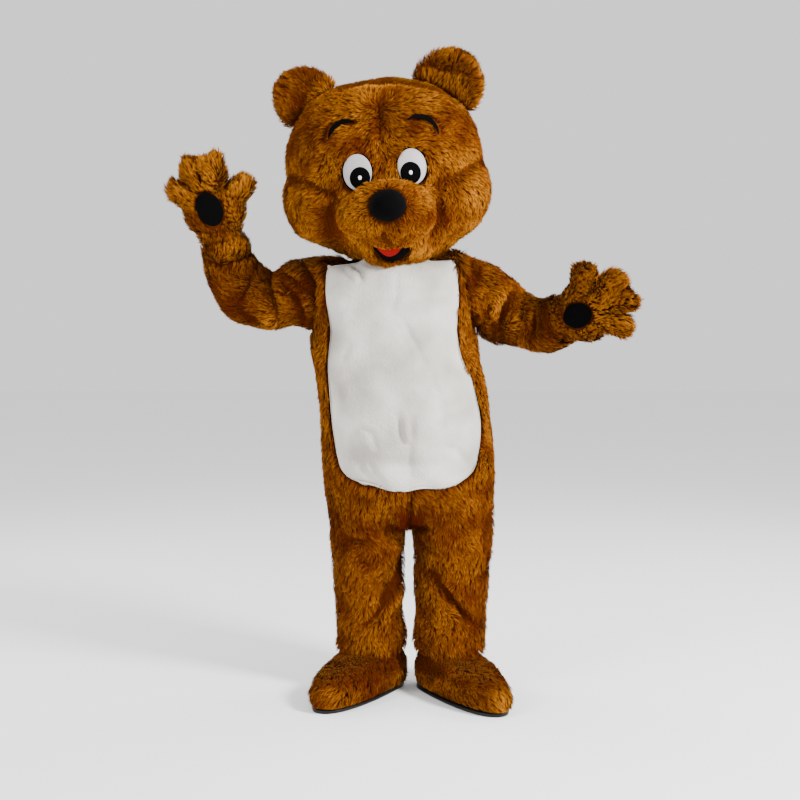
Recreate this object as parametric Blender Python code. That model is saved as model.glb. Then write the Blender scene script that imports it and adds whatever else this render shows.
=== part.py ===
"""Bear mascot costume, hollow as worn: fur suit with a plush belly, head, gloves and feet.

Metres, +Z up. The front faces -Y. The origin is in the middle of the suit's neck, where the
wearer's shoulders carry it. Left and right are seen from the front, so left is -X.
"""

import math

import bmesh
import bpy
import numpy as np
from mathutils import Matrix, Vector
from mathutils.bvhtree import BVHTree

# Driving sizes.
FLOOR = -1.28
FUR_WALL = 0.009
PLUSH_WALL = 0.003
PLUSH_RECESS = 0.005
SEAM = 0.0003
BELLY_CLEAR = 0.0014
ARM_CLEAR = 0.0012
SIDES = {"left": -1, "right": 1}

# Suit: height, centre across, half width, front depth, back depth, squareness.
BODY = (
    (-0.116, -0.012, 0.203, 0.170, 0.160, 2.2),
    (-0.145, -0.012, 0.220, 0.178, 0.166, 2.2),
    (-0.190, -0.010, 0.228, 0.184, 0.170, 2.2),
    (-0.250, -0.008, 0.231, 0.190, 0.172, 2.2),
    (-0.320, -0.004, 0.234, 0.200, 0.174, 2.2),
    (-0.400, 0.012, 0.234, 0.212, 0.178, 2.2),
    (-0.480, 0.026, 0.235, 0.222, 0.184, 2.2),
    (-0.570, 0.031, 0.238, 0.224, 0.190, 2.2),
    (-0.650, 0.035, 0.241, 0.212, 0.192, 2.2),
    (-0.730, 0.038, 0.240, 0.190, 0.184, 2.2),
    (-0.820, 0.040, 0.238, 0.165, 0.170, 2.2),
)
# Legs: height, then for each leg its centre across, centre forward and half width; front, back.
LEGS = (
    (-0.640, -0.080, 0.000, 0.118, 0.158, 0.000, 0.118, 0.180, 0.180),
    (-0.740, -0.076, 0.000, 0.114, 0.156, 0.000, 0.117, 0.150, 0.160),
    (-0.820, -0.078, 0.000, 0.107, 0.158, -0.004, 0.115, 0.128, 0.140),
    (-0.900, -0.081, 0.000, 0.103, 0.161, -0.010, 0.110, 0.116, 0.124),
    (-0.980, -0.078, 0.000, 0.099, 0.158, -0.016, 0.105, 0.108, 0.114),
    (-1.060, -0.073, 0.000, 0.095, 0.152, -0.022, 0.100, 0.102, 0.106),
    (-1.125, -0.068, 0.000, 0.100, 0.149, -0.028, 0.104, 0.106, 0.106),
    (-1.165, -0.067, 0.000, 0.093, 0.148, -0.030, 0.095, 0.098, 0.098),
)
CROTCH_TOP, CROTCH = -0.690, -0.800
HIP_TOP, HIP_BOTTOM = -0.640, -0.860
HEM = -1.162
# Belly panel outline: height, and how far round from the centre front (0.5 is the side).
BELLY = (
    (-0.020, 0.285),
    (-0.100, 0.300),
    (-0.180, 0.300),
    (-0.290, 0.270),
    (-0.390, 0.325),
    (-0.480, 0.355),
    (-0.560, 0.335),
    (-0.620, 0.290),
)
BELLY_CORNER, BELLY_BOTTOM = -0.612, -0.692
# Armhole on the side of the suit.
ARM_MIDDLE, ARM_HALF, ARM_REACH = -0.176, 0.088, 0.155
ARM_STEPS = 9
# Rows down the suit; the crotch rows are angles of its round top.
WAIST_ROWS, CORNER_ROWS, LEG_ROWS = 6, 5, 11
CROTCH_ROWS = (0.45, 0.85, 1.2, math.pi / 2)
CLOSEST_ROWS = 0.0025

# Head: height from its middle, half width, front, back, squareness, from the crown down.
HEAD = (
    (0.280, 0.000, 0.000, 0.000, 2.0),
    (0.272, 0.085, 0.080, 0.085, 2.0),
    (0.240, 0.170, 0.160, 0.170, 2.0),
    (0.180, 0.237, 0.222, 0.235, 2.1),
    (0.100, 0.270, 0.256, 0.268, 2.15),
    (0.035, 0.272, 0.264, 0.276, 2.15),
    (-0.035, 0.291, 0.268, 0.272, 2.15),
    (-0.100, 0.278, 0.262, 0.252, 2.15),
    (-0.160, 0.230, 0.243, 0.212, 2.1),
    (-0.205, 0.166, 0.208, 0.166, 2.05),
    (-0.235, 0.122, 0.164, 0.136, 2.0),
)
HEAD_MIDDLE = (-0.028, 0.0, 0.157)
HEAD_ROLL = math.radians(6)
CHEEK_SEAM = ((0.0, -0.06), (0.2, -0.05), (0.35, -0.01), (0.5, 0.035))
COLLAR_GAP = 0.0024
# Collar rows: height from the head's rim, and how far it spreads.
COLLAR = ((0.030, 0.0), (0.0, 0.0), (-0.009, 0.013), (-0.020, 0.038))
LEAN_DROP = 0.10
# The shoulders stand up beside the head: how much, and between which distances across and heights.
SHOULDER_RISE, SHOULDER_IN, SHOULDER_OUT, SHOULDER_LOW = 0.074, 0.118, 0.202, -0.270


def columns(table, at):
    """The columns of a table at given values of its first column, on a smooth curve."""
    rows = np.asarray(table, float)
    rows = rows[np.argsort(rows[:, 0])]
    key, values = rows[:, 0], rows[:, 1:]
    slopes = np.gradient(values, key, axis=0)
    at = np.clip(np.asarray(at, float), key[0], key[-1])
    i = np.clip(np.searchsorted(key, at, side="right") - 1, 0, len(key) - 2)
    step = (key[i + 1] - key[i])[..., None]
    t = (at[..., None] - key[i][..., None]) / step
    return (
        values[i] * (1 + 2 * t) * (1 - t) ** 2
        + slopes[i] * step * t * (1 - t) ** 2
        + values[i + 1] * t * t * (3 - 2 * t)
        - slopes[i + 1] * step * t * t * (1 - t)
    )


def superellipse(turn, power):
    """Across and forward parts of a squarish ring; turn 0 is the front, 0.5 the side, 1 the back."""
    angle = np.pi * turn
    across = np.sin(angle).clip(0) ** (2 / power)
    along = np.sign(np.cos(angle)) * np.abs(np.cos(angle)) ** (2 / power)
    return across, along


def head_frame():
    """The head's own axes: its middle, leaning to the left."""
    return np.array(Matrix.Translation(HEAD_MIDDLE) @ Matrix.Rotation(-HEAD_ROLL, 4, "Y"))


def place(frame, points):
    """Points of a local frame in the part's frame."""
    return points @ frame[:3, :3].T + frame[:3, 3]


def collar_rows():
    """The neckline stands up inside the head's opening, then falls to the shoulders."""
    rim = HEAD[-1]
    narrow = FUR_WALL + COLLAR_GAP
    rows = []
    for drop, spread in COLLAR:
        across, _, up = place(head_frame(), np.array((0, 0, rim[0] + drop)))
        rows.append((up, across, rim[1] - narrow + spread, rim[2] - narrow + spread / 3,
                     rim[3] - narrow + spread / 3, rim[4]))
    return tuple(rows)


SUIT = collar_rows() + BODY
NECKLINE = SUIT[0][0]
COLLAR_BASE = SUIT[2][0]


# The chin is round: the head's rim and the neckline in it rise from the middle to each side.
ARCH_LEFT, ARCH_RIGHT, ARCH_IN, ARCH_OUT = 0.034, 0.014, 0.015, 0.125
ARCH_TOP, ARCH_BASE = -0.120, -0.200


def smooth_step(low, high, at):
    t = np.clip((at - low) / (high - low), 0, 1)
    return t * t * (3 - 2 * t)


def rim_arch(x):
    """How far the chin line stands up at a place across."""
    height = np.where(x < 0, ARCH_LEFT, ARCH_RIGHT)
    return height * smooth_step(ARCH_IN, ARCH_OUT, np.abs(x))


def place_head(points):
    """Points of the head's own axes in the part's frame, with the chin line round."""
    placed = place(head_frame(), points)
    placed[..., 2] += rim_arch(placed[..., 0]) * smooth_step(ARCH_TOP, ARCH_BASE, points[..., 2])
    return placed


# Soft folds on the legs: side, turn and height at both ends, width, depth.
LEG_FOLDS = (
    (-1, 0.06, -0.895, 0.36, -1.060, 0.022, 0.020),
    (-1, 0.30, -0.850, 0.46, -0.875, 0.016, 0.011),
    (-1, 0.20, -0.905, 0.44, -0.925, 0.016, 0.011),
    (-1, 0.62, -0.900, 0.90, -1.020, 0.022, 0.017),
    (-1, 0.66, -1.040, 0.86, -1.070, 0.017, 0.011),
    (1, 0.08, -0.950, 0.40, -1.080, 0.022, 0.020),
    (1, 0.05, -0.880, 0.26, -0.905, 0.015, 0.011),
    (1, 0.24, -0.865, 0.48, -0.940, 0.016, 0.010),
    (1, 0.60, -0.940, 0.88, -1.050, 0.022, 0.017),
    (1, 0.66, -0.870, 0.90, -0.900, 0.017, 0.011),
)
LEG_GIRTH = 0.62


def fold_depth(side, turn, height):
    """How far the folds sink the leg's wall."""
    depth = np.zeros(np.broadcast(turn, height).shape)
    for which, turn_a, height_a, turn_b, height_b, width, deep in LEG_FOLDS:
        if which != side:
            continue
        a = np.array((turn_a * LEG_GIRTH, height_a))
        run = np.array((turn_b * LEG_GIRTH, height_b)) - a
        here = np.stack((turn * LEG_GIRTH - a[0], height - a[1]), axis=-1)
        along = np.clip(here @ run / (run @ run), 0, 1)
        away = np.linalg.norm(here - along[..., None] * run, axis=-1)
        taper = 0.35 + 0.65 * np.sin(np.pi * along) ** 0.5
        depth = np.maximum(depth, deep * taper * np.exp(-((away / width) ** 2)))
    return depth


def suit_points(side, turn, height, inset=0.0):
    """Points of one half of the suit; inset moves them inwards, through the wall."""
    turn, height = np.broadcast_arrays(np.asarray(turn, float), np.asarray(height, float))
    centre, half, front, back, power = np.moveaxis(columns(SUIT, height), -1, 0)
    step = 0.004
    slope = (columns(SUIT, height + step)[..., 1] - columns(SUIT, height - step)[..., 1]) / (2 * step)
    slope = np.clip(slope, -2.0, 0.3)
    outward = 1 / np.sqrt(1 + slope**2)
    across, along = superellipse(turn, power)
    depth = np.where(along > 0, front, back) - inset * outward
    x = side * (half - inset * outward) * across
    y = -depth * along
    z = height + inset * slope * outward

    leg = np.moveaxis(columns(LEGS, height), -1, 0)
    leg_x, leg_y, leg_half = leg[0:3] if side < 0 else leg[3:6]
    sink = inset + fold_depth(side, turn, height)
    round_leg = 2 * np.pi * turn
    leg_depth = np.where(np.sin(round_leg) > 0, leg[6], leg[7]) - sink
    ring_x = leg_x - side * (leg_half - sink) * np.cos(round_leg)
    ring_y = leg_y - leg_depth * np.sin(round_leg)

    crotch = CROTCH + inset
    drop = np.clip((CROTCH_TOP - height) / (CROTCH_TOP - crotch), 0, 1)
    inseam = np.abs(np.cos(np.pi * turn)) ** 3
    blend = inseam * (1 - np.sqrt(1 - drop**2)) + (1 - inseam) * smooth_step(HIP_TOP, HIP_BOTTOM, height)
    tilt = HEAD_ROLL * smooth_step(COLLAR_BASE - LEAN_DROP, COLLAR_BASE, height)
    torso_x = centre + x * np.cos(tilt)
    rise = rim_arch(torso_x)
    rise += (SHOULDER_RISE - rise) * smooth_step(SHOULDER_IN, SHOULDER_OUT, np.abs(x))
    torso_z = z + x * np.sin(tilt) + rise * smooth_step(SHOULDER_LOW, SUIT[4][0], height)
    return np.stack(
        (
            torso_x * (1 - blend) + ring_x * blend,
            y * (1 - blend) + ring_y * blend,
            torso_z * (1 - blend) + height * blend,
        ),
        axis=-1,
    )


def belly_edge(height):
    """How far round the suit the belly panel reaches at a height."""
    height = np.asarray(height, float)
    reach = columns(BELLY, height)[..., 0]
    fall = np.clip((BELLY_CORNER - height) / (BELLY_CORNER - BELLY_BOTTOM), 0, 1)
    return reach * np.sqrt(1 - fall**2.2)


def armhole_edge(height):
    """How far the armhole reaches from the side of the suit at a height."""
    up = np.clip((np.asarray(height, float) - ARM_MIDDLE) / ARM_HALF, -1, 1)
    return ARM_REACH * np.sqrt(1 - up**2)


def suit_rows():
    """Heights of the rows that all the suit's panels share."""
    arm = [ARM_MIDDLE + ARM_HALF * math.cos(math.pi * k / ARM_STEPS) for k in range(ARM_STEPS + 1)]
    neck = [NECKLINE, SUIT[1][0], SUIT[2][0], (SUIT[2][0] + arm[0]) / 2]
    waist = list(np.linspace(arm[-1], BELLY_CORNER, WAIST_ROWS + 1)[1:])
    corner = [BELLY_CORNER + (BELLY_BOTTOM - BELLY_CORNER) * math.sin(a)
              for a in np.linspace(0, math.pi / 2, CORNER_ROWS + 1)[1:]]
    crotch = [CROTCH_TOP + (CROTCH - CROTCH_TOP) * math.sin(a) for a in CROTCH_ROWS]
    leg = list(np.linspace(CROTCH - FUR_WALL - CLOSEST_ROWS, HEM, LEG_ROWS))
    rows = sorted(set(neck + arm + waist + corner + crotch + leg), reverse=True)
    kept = [rows[0]]
    for row in rows[1:]:
        if kept[-1] - row > CLOSEST_ROWS or row == HEM:
            kept.append(row)
    return np.array(kept)


# Shells: a wall between an outer and an inner grid of points.
def pull_back(grid, sides, amount=SEAM * 0.55):
    """Moves the named edges of a panel in by about half a seam, along the panel."""
    grid = grid.copy()
    for axis, edge in sides:
        rows = np.moveaxis(grid, axis, 0)
        here, nearby = rows[edge], rows[1 if edge == 0 else -2]
        run = nearby - here
        if np.ptp(here, axis=0).max() < 1e-6:
            run = np.broadcast_to(run.mean(axis=0), run.shape)
        length = np.linalg.norm(run, axis=-1, keepdims=True)
        rows[edge] = here + run / np.maximum(length, 1e-9) * amount
    return grid


def shell_mesh(outer, inner, closed):
    """A closed wall: both grids, and the rims between them. closed joins the last column to the first."""
    rows, cols = outer.shape[:2]
    points = np.concatenate((outer.reshape(-1, 3), inner.reshape(-1, 3)))
    base = rows * cols
    faces = []
    spans = cols if closed else cols - 1

    def at(r, c, layer=0):
        return layer * base + r * cols + c % cols

    for r in range(rows - 1):
        for c in range(spans):
            faces.append((at(r, c), at(r + 1, c), at(r + 1, c + 1), at(r, c + 1)))
            faces.append((at(r, c, 1), at(r, c + 1, 1), at(r + 1, c + 1, 1), at(r + 1, c, 1)))
    for c in range(spans):
        faces.append((at(0, c), at(0, c + 1), at(0, c + 1, 1), at(0, c, 1)))
        faces.append((at(rows - 1, c), at(rows - 1, c, 1), at(rows - 1, c + 1, 1), at(rows - 1, c + 1)))
    if not closed:
        for r in range(rows - 1):
            faces.append((at(r + 1, 0), at(r, 0), at(r, 0, 1), at(r + 1, 0, 1)))
            faces.append((at(r, cols - 1), at(r + 1, cols - 1), at(r + 1, cols - 1, 1), at(r, cols - 1, 1)))
    return points, faces


def polar_mesh(outer, inner):
    """A closed wall over two polar grids: their last rings meet in a point, so have no rim."""
    points, faces = shell_mesh(outer, inner, True)
    rows, cols = outer.shape[:2]
    tips = {(rows - 1) * cols + c for c in range(cols)}
    tips |= {rows * cols + i for i in tips}
    return points, [face for face in faces if not set(face) <= tips]


MATERIALS = {
    "brown_fur": ((0.33, 0.13, 0.03), 0.9),
    "white_plush": ((0.68, 0.67, 0.65), 0.9),
    "black_felt": ((0.012, 0.012, 0.014), 0.8),
    "white_vinyl": ((0.82, 0.82, 0.82), 0.35),
    "red_felt": ((0.65, 0.03, 0.02), 0.8),
    "black_sole": ((0.015, 0.015, 0.016), 0.6),
}


def add_object(name, points, faces, finish):
    """One named sub-part with its own material, closed and facing out."""
    mesh = bpy.data.meshes.new(name)
    bm = bmesh.new()
    verts = [bm.verts.new(p) for p in np.asarray(points, float)]
    for face in faces:
        if len(set(face)) == len(face):
            bm.faces.new([verts[i] for i in face])
    bmesh.ops.triangulate(bm, faces=bm.faces, quad_method="FIXED")
    bmesh.ops.remove_doubles(bm, verts=bm.verts, dist=2e-6)
    bmesh.ops.dissolve_degenerate(bm, edges=bm.edges, dist=1e-6)
    loose = [v for v in bm.verts if not v.link_faces]
    bmesh.ops.delete(bm, geom=loose, context="VERTS")
    bmesh.ops.recalc_face_normals(bm, faces=bm.faces)
    if bm.calc_volume(signed=True) < 0:
        bmesh.ops.reverse_faces(bm, faces=bm.faces)
    bm.to_mesh(mesh)
    bm.free()
    mesh.shade_smooth()
    mesh.set_sharp_from_angle(angle=math.radians(50))
    color, roughness = MATERIALS[finish]
    material = bpy.data.materials.new(name)
    material.use_nodes = True
    shader = material.node_tree.nodes["Principled BSDF"]
    shader.inputs["Base Color"].default_value = (*color, 1)
    shader.inputs["Roughness"].default_value = roughness
    shader.inputs["Metallic"].default_value = 0.0
    mesh.materials.append(material)
    piece = bpy.data.objects.new(name, mesh)
    bpy.context.scene.collection.objects.link(piece)
    return piece


# Suit panels.
PANEL_STEPS = 6
BELLY_STEPS = 8


def suit_panel(name, side, turn_a, turn_b, heights):
    """A fur panel between two edges, given as turns at each row."""
    across = np.linspace(0, 1, PANEL_STEPS + 1)[None, :]
    turn = turn_a[:, None] * (1 - across) + turn_b[:, None] * across
    height = np.broadcast_to(heights[:, None], turn.shape)
    sides = ((1, 0), (1, -1))
    outer = pull_back(suit_points(side, turn, height), sides)
    inner = pull_back(suit_points(side, turn, height, FUR_WALL), sides)
    add_object(name, *shell_mesh(outer, inner, False), "brown_fur")


def make_suit():
    heights = suit_rows()
    arm = armhole_edge(heights)
    belly = belly_edge(heights)
    for label, side in SIDES.items():
        suit_panel(f"body_front_{label}", side, belly, 0.5 - arm, heights)
        suit_panel(f"body_back_{label}", side, 0.5 + arm, np.ones_like(arm), heights)

    upper = heights[heights >= BELLY_BOTTOM - 1e-6]
    reach = belly_edge(upper)
    across = np.linspace(-1, 1, BELLY_STEPS + 1)[None, :]
    turn = np.abs(across) * reach[:, None]
    height = np.broadcast_to(upper[:, None], turn.shape)

    def belly_layer(inset):
        left = suit_points(-1, turn, height, inset)
        right = suit_points(1, turn, height, inset)
        return np.where((across < 0)[..., None], left, right)

    sides = ((1, 0), (1, -1), (0, -1))
    outer = pull_back(belly_layer(PLUSH_RECESS), sides, BELLY_CLEAR)
    inner = pull_back(belly_layer(PLUSH_RECESS + PLUSH_WALL), sides, BELLY_CLEAR)
    add_object("belly_panel", *shell_mesh(outer, inner, False), "white_plush")


# Arms: path points with the sleeve's radius.
ARM_PATHS = {
    "left": (
        (-0.212, -0.004, -0.164, 0.106),
        (-0.270, 0.004, -0.154, 0.100),
        (-0.345, 0.006, -0.173, 0.087),
        (-0.412, 0.000, -0.162, 0.088),
        (-0.448, -0.012, -0.112, 0.082),
        (-0.466, -0.026, -0.066, 0.073),
        (-0.478, -0.040, -0.020, 0.068),
    ),
    "right": (
        (0.196, 0.000, -0.162, 0.096),
        (0.244, 0.004, -0.166, 0.096),
        (0.284, 0.010, -0.197, 0.092),
        (0.315, 0.008, -0.226, 0.088),
        (0.355, -0.006, -0.236, 0.080),
        (0.412, -0.034, -0.250, 0.077),
        (0.454, -0.072, -0.235, 0.075),
    ),
}
SLEEVE_RINGS = 16
# How often the rings' directions are evened out, so that the elbows bend without crossing walls.
BEND_PASSES = 6
ROOT_BLEND = 0.42
# Folds round the sleeves: arm, place along, slant, facing turn, spread, width, depth.
SLEEVE_FOLDS = (
    ("left", 0.20, 0.03, 0.25, 0.40, 0.020, 0.014),
    ("left", 0.31, -0.03, 0.30, 0.45, 0.022, 0.015),
    ("left", 0.43, 0.04, 0.20, 0.40, 0.024, 0.014),
    ("left", 0.74, 0.02, 0.25, 0.60, 0.018, 0.009),
    ("left", 0.85, -0.02, 0.30, 0.60, 0.018, 0.011),
    ("left", 0.30, 0.04, 0.75, 0.40, 0.024, 0.014),
    ("right", 0.14, 0.05, 0.25, 0.40, 0.020, 0.014),
    ("right", 0.48, 0.06, 0.30, 0.40, 0.020, 0.014),
    ("right", 0.61, 0.05, 0.30, 0.40, 0.020, 0.015),
    ("right", 0.74, 0.06, 0.25, 0.40, 0.020, 0.014),
    ("right", 0.87, 0.04, 0.30, 0.40, 0.018, 0.012),
    ("right", 0.55, -0.05, 0.75, 0.40, 0.022, 0.014),
)


def arm_frames(label, count):
    """Centres, radii and the up and front directions of rings along an arm."""
    side = SIDES[label]
    path = np.array(ARM_PATHS[label])
    run = np.concatenate(((0,), np.cumsum(np.linalg.norm(np.diff(path[:, :3], axis=0), axis=1))))
    run /= run[-1]
    at = np.linspace(0, 1, count)
    here = columns(np.column_stack((run, path)), at)
    centre, radius = here[:, :3], here[:, 3]
    ahead = np.gradient(centre, at, axis=0)
    ahead /= np.linalg.norm(ahead, axis=1, keepdims=True)
    for _ in range(BEND_PASSES):
        ahead[1:-1] = (ahead[:-2] + ahead[1:-1] + ahead[2:]) / 3
    ahead /= np.linalg.norm(ahead, axis=1, keepdims=True)
    ups, fronts = [], []
    up = np.array((0.0, 0.0, 1.0))
    for direction in ahead:
        up = up - direction * (up @ direction)
        up /= np.linalg.norm(up)
        ups.append(up)
        fronts.append(side * np.cross(direction, up))
    return at, centre, radius, ahead, np.array(ups), np.array(fronts)


def sleeve_fold(label, turn, at):
    depth = np.zeros(np.broadcast(turn, at).shape)
    for arm, place_along, slant, facing, spread, width, deep in SLEEVE_FOLDS:
        if arm != label:
            continue
        around = np.abs((turn - facing + 0.5) % 1 - 0.5)
        line = place_along + slant * np.sin(2 * np.pi * (turn - facing))
        fade = np.clip(1 - (around / spread) ** 2, 0, 1)
        depth = np.maximum(depth, deep * fade * np.exp(-(((at - line) / width) ** 2)))
    return depth


def make_sleeves():
    psi = np.pi * np.arange(2 * ARM_STEPS) / ARM_STEPS
    heights = ARM_MIDDLE + ARM_HALF * np.cos(psi)
    reach = ARM_REACH * np.sqrt(np.clip(1 - np.cos(psi) ** 2, 0, 1))
    turn = 0.5 - np.where(psi <= np.pi, reach, -reach)
    for label, side in SIDES.items():
        at, centre, radius, _, ups, fronts = arm_frames(label, SLEEVE_RINGS)
        fold = sleeve_fold(label, psi[None, :] / (2 * np.pi), at[:, None])
        fade = (np.clip(1 - at / ROOT_BLEND, 0, 1) ** 2)[:, None, None]
        plain_end = 1 - smooth_step(0.86, 0.95, at)
        layers = []
        for inset in (0.0, FUR_WALL):
            size = (radius[:, None] - fold * plain_end[:, None] - inset)[..., None]
            tube = centre[:, None] + size * (
                np.cos(psi)[None, :, None] * ups[:, None] + np.sin(psi)[None, :, None] * fronts[:, None]
            )
            root = suit_points(side, turn, heights, inset)
            inward = root.mean(axis=0) + np.array((side * ARM_HALF, 0, 0)) - root
            root = root + inward / np.linalg.norm(inward, axis=1, keepdims=True) * ARM_CLEAR
            layers.append(tube + (root - tube[0])[None] * fade)
        add_object(f"sleeve_{label}", *shell_mesh(*layers, True), "brown_fur")


# Gloves: finger lobes as direction from the hand's axis, reach from the palm's middle, half angle.
LOBES = (
    ("thumb", 64.0, 0.134, 14.0),
    ("first", 16.0, 0.156, 12.0),
    ("second", -14.0, 0.160, 12.0),
    ("third", -48.0, 0.138, 13.0),
)
PALM_REACH, PALM_THICK, BACK_THICK = 0.086, 0.052, 0.050
WRIST_TO_PALM, CUFF_DEPTH, CUFF_SHOULDER = 0.098, 0.016, 0.006
WRIST_ANGLE, FINGER_VALLEY = math.radians(52), 0.30
CUFF_CLEAR = {"left": 0.0030, "right": 0.0015}
HANDS = {"left": 0.0, "right": 6.0}
PAD_HALF = (0.036, 0.050)
PAD_STEPS = 20
PAD_RINGS = (1.0, 0.72, 0.4, 0.0)
PAD_CLEAR, PAD_THICK = 0.0016, 0.0030
PAD_TURN = {"left": 8.0, "right": 0.0}
PAD_SHIFT = {"left": (-0.007, 0.015), "right": (0.0, 0.0)}
GLOVE_SPOKES = 38
GLOVE_RINGS = (1.0, 0.93, 0.78, 0.50, 0.0)


def hand_frame(label):
    """The glove's axes at the palm: across towards the thumb, palm side, fingers; and the cuff's radius."""
    side = SIDES[label]
    _, centre, radius, ahead, ups, fronts = arm_frames(label, SLEEVE_RINGS)
    axis = ahead[-1]
    camera_side = np.array((0.0, -1.0, 0.0))
    palm = camera_side - axis * (camera_side @ axis)
    palm /= np.linalg.norm(palm)
    thumb = np.cross(palm, axis) * side
    step = math.cos(math.pi / (2 * ARM_STEPS))
    cuff = (radius[-1] - FUR_WALL) * step - CUFF_CLEAR[label]
    return centre[-1] + axis * WRIST_TO_PALM, thumb, palm, axis, cuff


def glove_outline(label, spoke, inset):
    """Reach of the glove's outline in a direction from the palm's middle, and how deep its fingers part."""
    reach = np.full(spoke.shape, PALM_REACH)
    between = np.ones(spoke.shape)
    for _, direction, length, half in LOBES:
        away = np.abs((spoke - math.radians(direction + HANDS[label]) + np.pi) % (2 * np.pi) - np.pi)
        lobe = np.clip(1 - (away / math.radians(half * 1.35)) ** 2, 0, 1) ** 0.42
        reach = np.maximum(reach, PALM_REACH + (length - PALM_REACH) * lobe)
        between = np.minimum(between, np.clip(1 - lobe, 0, 1))
    return reach - inset, between


def glove_layer(label, face, inset):
    """One side of a glove as a polar grid: face 1 is the palm, -1 the back of the hand."""
    middle, thumb, palm, axis, cuff = hand_frame(label)
    cuff = cuff - inset
    spoke = -np.pi + 2 * np.pi * (np.arange(GLOVE_SPOKES) + 0.5) / GLOVE_SPOKES
    reach, between = glove_outline(label, spoke, inset)
    across, along = reach * np.sin(spoke), reach * np.cos(spoke)
    drop = WRIST_TO_PALM + CUFF_DEPTH
    wrist = np.abs(np.abs(spoke) - np.pi) < WRIST_ANGLE
    opening = np.clip((np.pi - np.abs(spoke)) / WRIST_ANGLE, 0, 1) * np.sign(spoke)
    across = np.where(wrist, cuff * np.sin(opening * np.pi / 2), across)
    edge = np.where(wrist, cuff * np.cos(opening * np.pi / 2), 0.0)
    shoulder = np.abs(opening) > 0.84
    along = np.where(wrist, np.where(shoulder, CUFF_SHOULDER - WRIST_TO_PALM, -drop), along)
    hump = np.where(wrist, 1.2, 3.2)
    thick = (PALM_THICK if face > 0 else BACK_THICK) - inset
    points = []
    for ring in GLOVE_RINGS:
        valley = 1 - FINGER_VALLEY * between * smooth_step(0.45, 0.9, ring) * (np.cos(spoke) > 0.15)
        depth = np.sqrt((thick * valley) ** 2 * (1 - ring**hump) + edge**2 * ring**2)
        depth = depth + SEAM * 0.55
        points.append(
            middle
            + (ring * across)[:, None] * thumb
            + (ring * along)[:, None] * axis
            + (face * depth)[:, None] * palm
        )
    return np.array(points)


def make_gloves():
    for label in SIDES:
        for name, face in (("palm", 1), ("back", -1)):
            outer, inner = glove_layer(label, face, 0.0), glove_layer(label, face, FUR_WALL)
            add_object(f"glove_{label}_{name}", *polar_mesh(outer, inner), "brown_fur")
        make_pad(label)


def make_pad(label):
    """The felt pad, laid on the palm panel's own surface."""
    middle, thumb, palm, axis, _ = hand_frame(label)
    grid = glove_layer(label, 1, 0.0)
    rows, cols = grid.shape[:2]
    faces = []
    for r in range(rows - 1):
        for c in range(cols):
            a, b, d = r * cols + c, (r + 1) * cols + c, (c + 1) % cols
            faces.append((a, b, (r + 1) * cols + d))
            faces.append((a, (r + 1) * cols + d, r * cols + d))
    surface = BVHTree.FromPolygons([Vector(p) for p in grid.reshape(-1, 3)], faces)
    tilt = math.radians(PAD_TURN[label])
    spin = np.linspace(0, 2 * np.pi, PAD_STEPS, endpoint=False)
    layers = []
    for lift in (PAD_CLEAR + PAD_THICK, PAD_CLEAR):
        ring_rows = []
        for ring in PAD_RINGS:
            a = PAD_HALF[0] * ring * np.cos(spin)
            b = PAD_HALF[1] * ring * np.sin(spin)
            across = PAD_SHIFT[label][0] + a * math.cos(tilt) - b * math.sin(tilt)
            along = PAD_SHIFT[label][1] + a * math.sin(tilt) + b * math.cos(tilt)
            flat = middle + across[:, None] * thumb + along[:, None] * axis
            hits = [surface.ray_cast(Vector(p + palm * PALM_REACH), Vector(-palm))[0] for p in flat]
            ring_rows.append(np.array(hits) + palm * lift)
        layers.append(np.array(ring_rows))
    add_object(f"glove_{label}_pad", *polar_mesh(*layers), "black_felt")


# Feet: height above the floor, reach to the toe, reach to the heel, half width.
FOOT = (
    (0.010, 0.322, 0.104, 0.082),
    (0.032, 0.334, 0.112, 0.090),
    (0.062, 0.314, 0.112, 0.090),
    (0.086, 0.262, 0.108, 0.088),
    (0.102, 0.190, 0.100, 0.084),
    (0.109, 0.126, 0.092, 0.080),
)
TOE_OUT = {"left": math.radians(25), "right": math.radians(24)}
FOOT_STEPS = 20
FOOT_POWER = 2.3
ANKLE_RISE, ANKLE_CLEAR = 0.030, 0.0009
SOLE, SOLE_EDGE = 0.0095, 0.002


def ankle_ring(label, height, inset):
    """The ring inside a leg's hem that a foot's top fills."""
    side = SIDES[label]
    turn = np.arange(FOOT_STEPS) / FOOT_STEPS
    step = math.cos(math.pi / (2 * PANEL_STEPS))
    leg = columns(LEGS, height)
    leg_x, leg_y, leg_half = leg[0:3] if side < 0 else leg[3:6]
    tuck = FUR_WALL + leg[7] * (1 - step) + ANKLE_CLEAR
    around = 2 * np.pi * turn
    return np.column_stack((
        leg_x - side * (leg_half - tuck - inset) * np.cos(around),
        leg_y - (np.where(np.sin(around) > 0, leg[6], leg[7]) - tuck - inset) * np.sin(around),
        np.full(FOOT_STEPS, height),
    ))


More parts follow.
